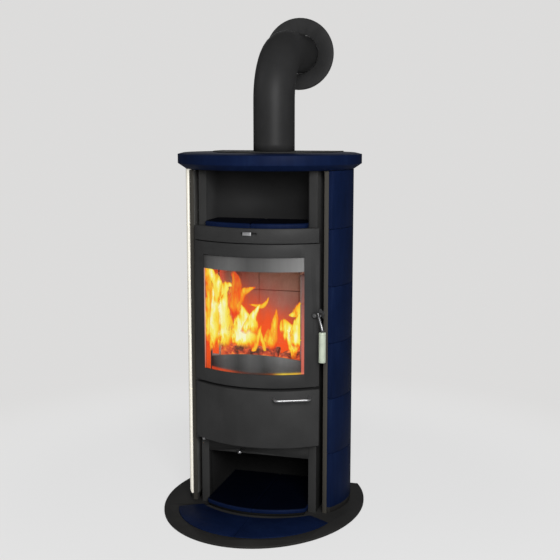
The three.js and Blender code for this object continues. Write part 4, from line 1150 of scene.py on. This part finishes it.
@dataclass
class Fire:
    """Logs, embers, flames and the red haze and painted firelight round them."""

    floor: float
    ribbons: tuple[Ribbon, ...]
    logs: tuple[Log, ...]
    gases: tuple[Gas, ...]
    columns: int = 12
    rows: int = 40
    spine_step: float = 0.02
    belly_share: float = 0.25
    belly_most: float = 4.0
    bark_scale: float = 38.0
    bark_depth: float = 0.14
    bark_shift: float = 9.0
    end_rim: float = 0.12
    end_sink: float = 0.003
    coals: int = 70
    ember_seed: int = 7
    coal_rise: float = 0.55
    coal_radius: Span = (0.006, 0.014)
    bed_across: Span = (-0.135, 0.135)
    bed_along: Span = (-0.18, 0.05)
    coal_shape: tuple[Span, ...] = ((0.8, 1.5), (0.7, 1.2), (0.6, 0.9))
    glow_reach: float = 174.0 * MM
    glow_radius: float = 300.0 * MM
    glow_centre: float = 40.0 * MM
    glow_level: float = 518.0 * MM
    glow_height: float = 24.0 * MM

    def build(self) -> None:
        """Makes the fire."""
        self._logs()
        self._embers()
        flames = joined("flames", [self._sheet(ribbon) for ribbon in self.ribbons])
        smooth(flames, 180)
        finished(flames, Finish.FLAME, "stove")
        for gas in self.gases:
            self._haze(gas)
        self._foot_glow()

    @staticmethod
    def _haze(gas: Gas) -> None:
        """Hangs one upright glowing sheet of hot gas and painted firelight."""
        sheet = gridded(gas.name, 8, 12)
        (left, right), (foot, head) = gas.across, gas.level
        sheet.location = ((left + right) / 2, gas.depth, (foot + head) / 2)
        sheet.rotation_euler = (math.radians(90), 0.0, 0.0)
        sheet.scale = (right - left, head - foot, 1.0)
        finished(sheet, gas.finish, "stove")

    def _foot_glow(self) -> None:
        """Bows a low sheet of light round the front of the log guard."""
        sheet = gridded("foot_glow", 32, 2)
        for vertex in sheet.data.vertices:
            across = vertex.co.x * 2.0 * self.glow_reach
            along = self.glow_centre - math.sqrt(self.glow_radius**2 - across * across)
            vertex.co = (across, along, self.glow_level + vertex.co.y * self.glow_height)
        smooth(sheet, 60)
        finished(sheet, Finish.FOOT_GLOW, "stove")

    def _sheet(self, ribbon: Ribbon) -> Piece:
        """Lays one gridded sheet along its ribbon's spine, bellied towards the glass."""
        sheet = gridded("flame", self.columns, self.rows)
        sheet.data.uv_layers.active.name = FLAME_MAP
        heat = sheet.data.attributes.new(FLAME_HEAT, "FLOAT", "POINT")
        for vertex in sheet.data.vertices:
            across = vertex.co.x * 2.0
            rise = min(max(vertex.co.y + 0.5, 0.0), 1.0)
            x, z, half = ribbon.at(rise)
            ahead = ribbon.at(min(rise + self.spine_step, 1.0))
            behind = ribbon.at(max(rise - self.spine_step, 0.0))
            run = Vector((ahead[0] - behind[0], ahead[1] - behind[1])).normalized()
            belly = min(half * self.belly_share, self.belly_most) * (1.0 - across * across)
            place = (x + run.y * half * across, ribbon.depth - belly, z - run.x * half * across)
            vertex.co = Vector(place) * MM
            heat.data[vertex.index].value = ribbon.heat
        return sheet

    def _logs(self) -> None:
        """Makes the charred logs, each with sunk ends and knotty bark."""
        pieces = []
        for number, log_piece in enumerate(self.logs):
            radius = log_piece.radius
            size = {"vertices": 20, "radius": radius, "depth": log_piece.length}
            piece = added(bpy.ops.mesh.primitive_cylinder_add, "log", **size)
            select_faces(piece, lambda normal: abs(normal.z) > 0.9)
            bpy.ops.mesh.inset(thickness=radius * self.end_rim, depth=-self.end_sink)
            bpy.ops.object.mode_set(mode="OBJECT")
            reshape(piece, "SUBSURF", levels=2, render_levels=2, subdivision_type="SIMPLE")
            for vertex in piece.data.vertices:
                knot = noise.noise(vertex.co * self.bark_scale + Vector((number * self.bark_shift, 0.0, 0.0)))
                vertex.co.x *= 1.0 + self.bark_depth * knot
                vertex.co.y *= 1.0 + self.bark_depth * knot
            piece.rotation_euler = (math.radians(log_piece.tilt), 0.0, math.radians(log_piece.heading))
            across, along, rise = log_piece.place
            piece.location = (across, along, self.floor + rise)
            settle(piece)
            pieces.append(piece)
        pile = joined("burning_logs", pieces)
        smooth(pile, 50)
        finished(pile, Finish.EMBER, "stove")

    def _embers(self) -> None:
        """Spreads a bed of embers over the hearth, behind the guard."""
        rng = random.Random(self.ember_seed)
        seed = added(bpy.ops.mesh.primitive_ico_sphere_add, "coal", subdivisions=2, radius=1.0)
        coals = []
        for _ in range(self.coals):
            size = rng.uniform(*self.coal_radius)
            x = rng.uniform(*self.bed_across)
            y = rng.uniform(*self.bed_along)
            coal = copy_of(seed)
            coal.location = (x, y, self.floor + size * self.coal_rise)
            coal.scale = [size * rng.uniform(*span) for span in self.coal_shape]
            coal.rotation_euler = (0.0, 0.0, rng.uniform(0.0, math.tau))
            settle(coal)
            coals.append(coal)
        bpy.data.objects.remove(seed, do_unlink=True)
        bed = joined("ember_bed", coals)
        smooth(bed, 60)
        finished(bed, Finish.EMBER, "stove")


# ---- Studio ----


def stood(name: str, data: bpy.types.ID, place: Point) -> Piece:
    """A camera or a lamp in its place."""
    piece = bpy.data.objects.new(name, data)
    piece.location = place
    bpy.context.collection.objects.link(piece)
    return piece


@dataclass(frozen=True)
class Lamp:
    """A lamp: a square soft one that faces its target, or a small glowing point."""

    name: str
    place: Point
    size: float
    power: float
    target: Point | None = None
    colour: Colour = WHITE

    def hang(self) -> None:
        """Hangs the lamp and turns it to its target."""
        data = bpy.data.lights.new(self.name, "AREA" if self.target else "POINT")
        data.energy = self.power
        data.color = self.colour
        hung = stood(self.name, data, self.place)
        if self.target:
            data.size = self.size
            aim = Vector(self.target) - Vector(self.place)
            hung.rotation_euler = aim.to_track_quat("-Z", "Y").to_euler()
        else:
            data.shadow_soft_size = self.size


@dataclass
class Studio:
    """Camera, lamps, world and floor."""

    camera_place: Point = (1.0088, -3.4634, 1.3644)
    turn_degrees: float = 15.9
    tilt_degrees: float = 8.77
    lens: float = 63.42
    sensor: float = 36.0
    backdrop: Colour = (0.72, 0.715, 0.71)
    ambient: float = 0.19
    mirrored: float = 0.08
    floor_colour: Colour = (0.55, 0.55, 0.55)
    floor_size: float = 30.0
    floor_level: float = -0.0006
    floor_near: float = 0.75
    floor_far: float = 1.9
    floor_lift: float = 0.64
    lamps: tuple[Lamp, ...] = (
        Lamp("key", (1.6, -3.8, 2.2), 1.8, 140.0, (0.0, -0.1, 0.7)),
        Lamp("left", (-3.4, -1.0, 3.0), 1.6, 9.0, (0.0, 0.0, 1.0)),
        Lamp("back", (-0.8, 3.4, 2.0), 2.4, 9.0, (0.0, 0.0, 0.8)),
        Lamp("fire_glow", (-0.03, -0.09, 0.66), 0.06, 1.6, colour=(1.0, 0.58, 0.42)),
    )

    def build(self) -> None:
        """Sets up everything that isn't the object."""
        self._camera()
        self._world()
        self._floor()
        for lamp in self.lamps:
            lamp.hang()
        bpy.context.scene.view_settings.view_transform = "Standard"

    def _camera(self) -> None:
        """Places the camera at the photograph's viewing angle."""
        data = bpy.data.cameras.new("camera")
        data.lens = self.lens
        data.sensor_width = self.sensor
        camera = stood("camera", data, self.camera_place)
        camera.rotation_euler = (math.radians(90 - self.tilt_degrees), 0.0, math.radians(self.turn_degrees))
        bpy.context.scene.camera = camera

    def _world(self) -> None:
        """Lights softly from all round, dimly in reflections, and shows a pale backdrop to the camera."""
        world = bpy.data.worlds.new("studio")
        world.use_nodes = True
        bpy.context.scene.world = world
        tree = Tree(world.node_tree)
        strength = tree.ray("Is Glossy Ray") * (self.mirrored - self.ambient) + self.ambient
        soft = tree.node("Background", {"Color": WHITE, "Strength": strength})
        pale = tree.node("Background", {"Color": self.backdrop, "Strength": 1.0})
        shown = tree.ray("Is Camera Ray").at_least(tree.ray("Is Transmission Ray"))
        output = tree.tree.nodes.new("ShaderNodeOutputWorld")
        tree.feed(output.inputs["Surface"], tree.mixed(shown, soft, pale))

    def _floor(self) -> None:
        """Lays the floor, which runs out into the backdrop's colour away from the stove."""
        floor = added(bpy.ops.mesh.primitive_plane_add, "studio_floor", size=self.floor_size)
        floor.location.z = self.floor_level
        graph = Graph("floor_white")
        graph.surface(Base_Color=self.floor_colour, Roughness=0.85, Specular_IOR_Level=0.05)
        across, along, _ = graph.axes(graph.place())
        away = ((across * across + along * along) ** 0.5).smooth(self.floor_near, self.floor_far)
        share = (away * (1.0 - self.floor_lift) + self.floor_lift) * graph.ray("Is Camera Ray")
        pale = graph.node("Emission", {"Color": graph.blend(away, WHITE, self.backdrop)})
        lit = Flow(graph, graph.shader.outputs[0])
        graph.feed(graph.output.inputs["Surface"], graph.mixed(share, lit, pale))
        floor.data.materials.append(graph.material)


# ---- The fire's shapes ----


LOGS = (
    Log((-0.045, -0.150, 0.066), 90.0, 90.0, 0.024, 0.215),
    Log((-0.090, -0.060, 0.030), 88.0, 78.0, 0.028, 0.24),
    Log((0.075, -0.035, 0.034), 92.0, 60.0, 0.030, 0.22),
    Log((0.070, -0.110, 0.036), 84.0, 108.0, 0.024, 0.20),
)
# Glowing sheets that are partly hot gas and partly painted firelight over the lining and the window's edges.
GASES = (
    Gas("haze_behind", (-0.147, 0.147), -0.050, (0.545, 0.850), Finish.HAZE),
    Gas("haze_left", (-0.1915, -0.1745), -0.2135, (0.506, 0.882), Finish.EDGE_HAZE),
    Gas("haze_lining", (-0.175, -0.151), -0.192, (0.562, 0.882), Finish.EDGE_HAZE),
    Gas("haze_wall", (-0.149, -0.095), -0.184, (0.600, 0.890), Finish.WALL_HAZE),
    Gas("haze_right", (0.160, 0.178), -0.2135, (0.506, 0.882), Finish.THIN_HAZE),
)
LEFT_RIBBONS = (
    Ribbon(
        -219,
        0.68,
        ((-178, 566, 8), (-182, 640, 14), (-180, 730, 18), (-174, 800, 18), (-182, 860, 20), (-190, 915, 12)),
    ),
    Ribbon(-220, 0.80, ((-192, 905, 8), (-170, 860, 18), (-150, 826, 24), (-144, 790, 20), (-150, 750, 10))),
    Ribbon(-218, 0.92, ((-174, 578, 10), (-164, 640, 26), (-162, 700, 30), (-156, 760, 20), (-164, 820, 6))),
    Ribbon(
        -214,
        1.00,
        ((-134, 588, 52), (-140, 640, 56), (-142, 690, 52), (-136, 730, 40), (-122, 770, 20), (-112, 806, 5)),
    ),
    Ribbon(-212, 0.92, ((-152, 690, 30), (-154, 740, 24), (-142, 778, 14), (-134, 806, 10))),
    Ribbon(-213, 0.90, ((-140, 742, 12), (-134, 772, 20), (-122, 802, 26), (-108, 818, 16), (-92, 812, 3))),
    Ribbon(-206, 0.44, ((-96, 690, 14), (-92, 752, 24), (-80, 800, 26), (-76, 834, 20), (-96, 866, 10))),
)
MIDDLE_RIBBONS = (
    Ribbon(-190, 0.62, ((-92, 690, 14), (-86, 746, 26), (-66, 784, 20), (-40, 798, 12), (-10, 812, 2))),
    Ribbon(-182, 1.00, ((-74, 588, 54), (-64, 640, 58), (-58, 680, 50), (-64, 716, 24), (-74, 746, 6))),
    Ribbon(-185, 0.94, ((-42, 636, 38), (-32, 678, 28), (-22, 706, 16), (-8, 732, 9), (4, 750, 2))),
    Ribbon(-175, 0.66, ((-44, 744, 3), (-14, 741, 7), (6, 740, 12), (22, 754, 8), (32, 776, 1.5))),
    Ribbon(-170, 0.74, ((-34, 556, 8), (-22, 600, 16), (-10, 634, 13), (2, 676, 2))),
    Ribbon(-168, 0.62, ((18, 556, 5), (10, 600, 10), (2, 630, 8), (-4, 660, 2))),
    Ribbon(-165, 0.66, ((26, 584, 34), (36, 625, 27), (46, 662, 18), (54, 700, 11), (57, 734, 2))),
    Ribbon(-160, 0.80, ((44, 584, 8), (48, 630, 10), (52, 672, 9), (56, 712, 2))),
)
RIGHT_RIBBONS = (
    Ribbon(
        -172,
        0.96,
        ((124, 548, 7), (120, 590, 18), (118, 618, 32), (108, 644, 36), (91, 674, 26), (80, 700, 7)),
    ),
    Ribbon(
        -183,
        0.94,
        ((130, 586, 8), (132, 618, 24), (132, 646, 28), (134, 672, 20), (140, 700, 12), (148, 728, 3)),
    ),
    Ribbon(-176, 0.84, ((108, 640, 18), (128, 648, 20), (146, 654, 12), (158, 650, 3))),
    Ribbon(-180, 0.74, ((130, 640, 8), (138, 684, 10), (142, 706, 13), (140, 732, 20), (153, 768, 3))),
    Ribbon(-178, 0.72, ((150, 736, 8), (130, 722, 16), (104, 713, 3))),
)


def main() -> None:
    """Builds the dressed stove."""
    logging.basicConfig(level=logging.INFO, format="%(name)s: %(message)s")
    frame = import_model()
    Studio().build()
    dresser = Dresser(frame["nodes"])
    Shell(dresser).build()
    Doors(dresser).build()
    Brickwork(dresser).build()
    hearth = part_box("hearth_brick")[1][UP]
    Fire(hearth, LEFT_RIBBONS + MIDDLE_RIBBONS + RIGHT_RIBBONS, LOGS, GASES).build()


if __name__ == "__main__":
    main()
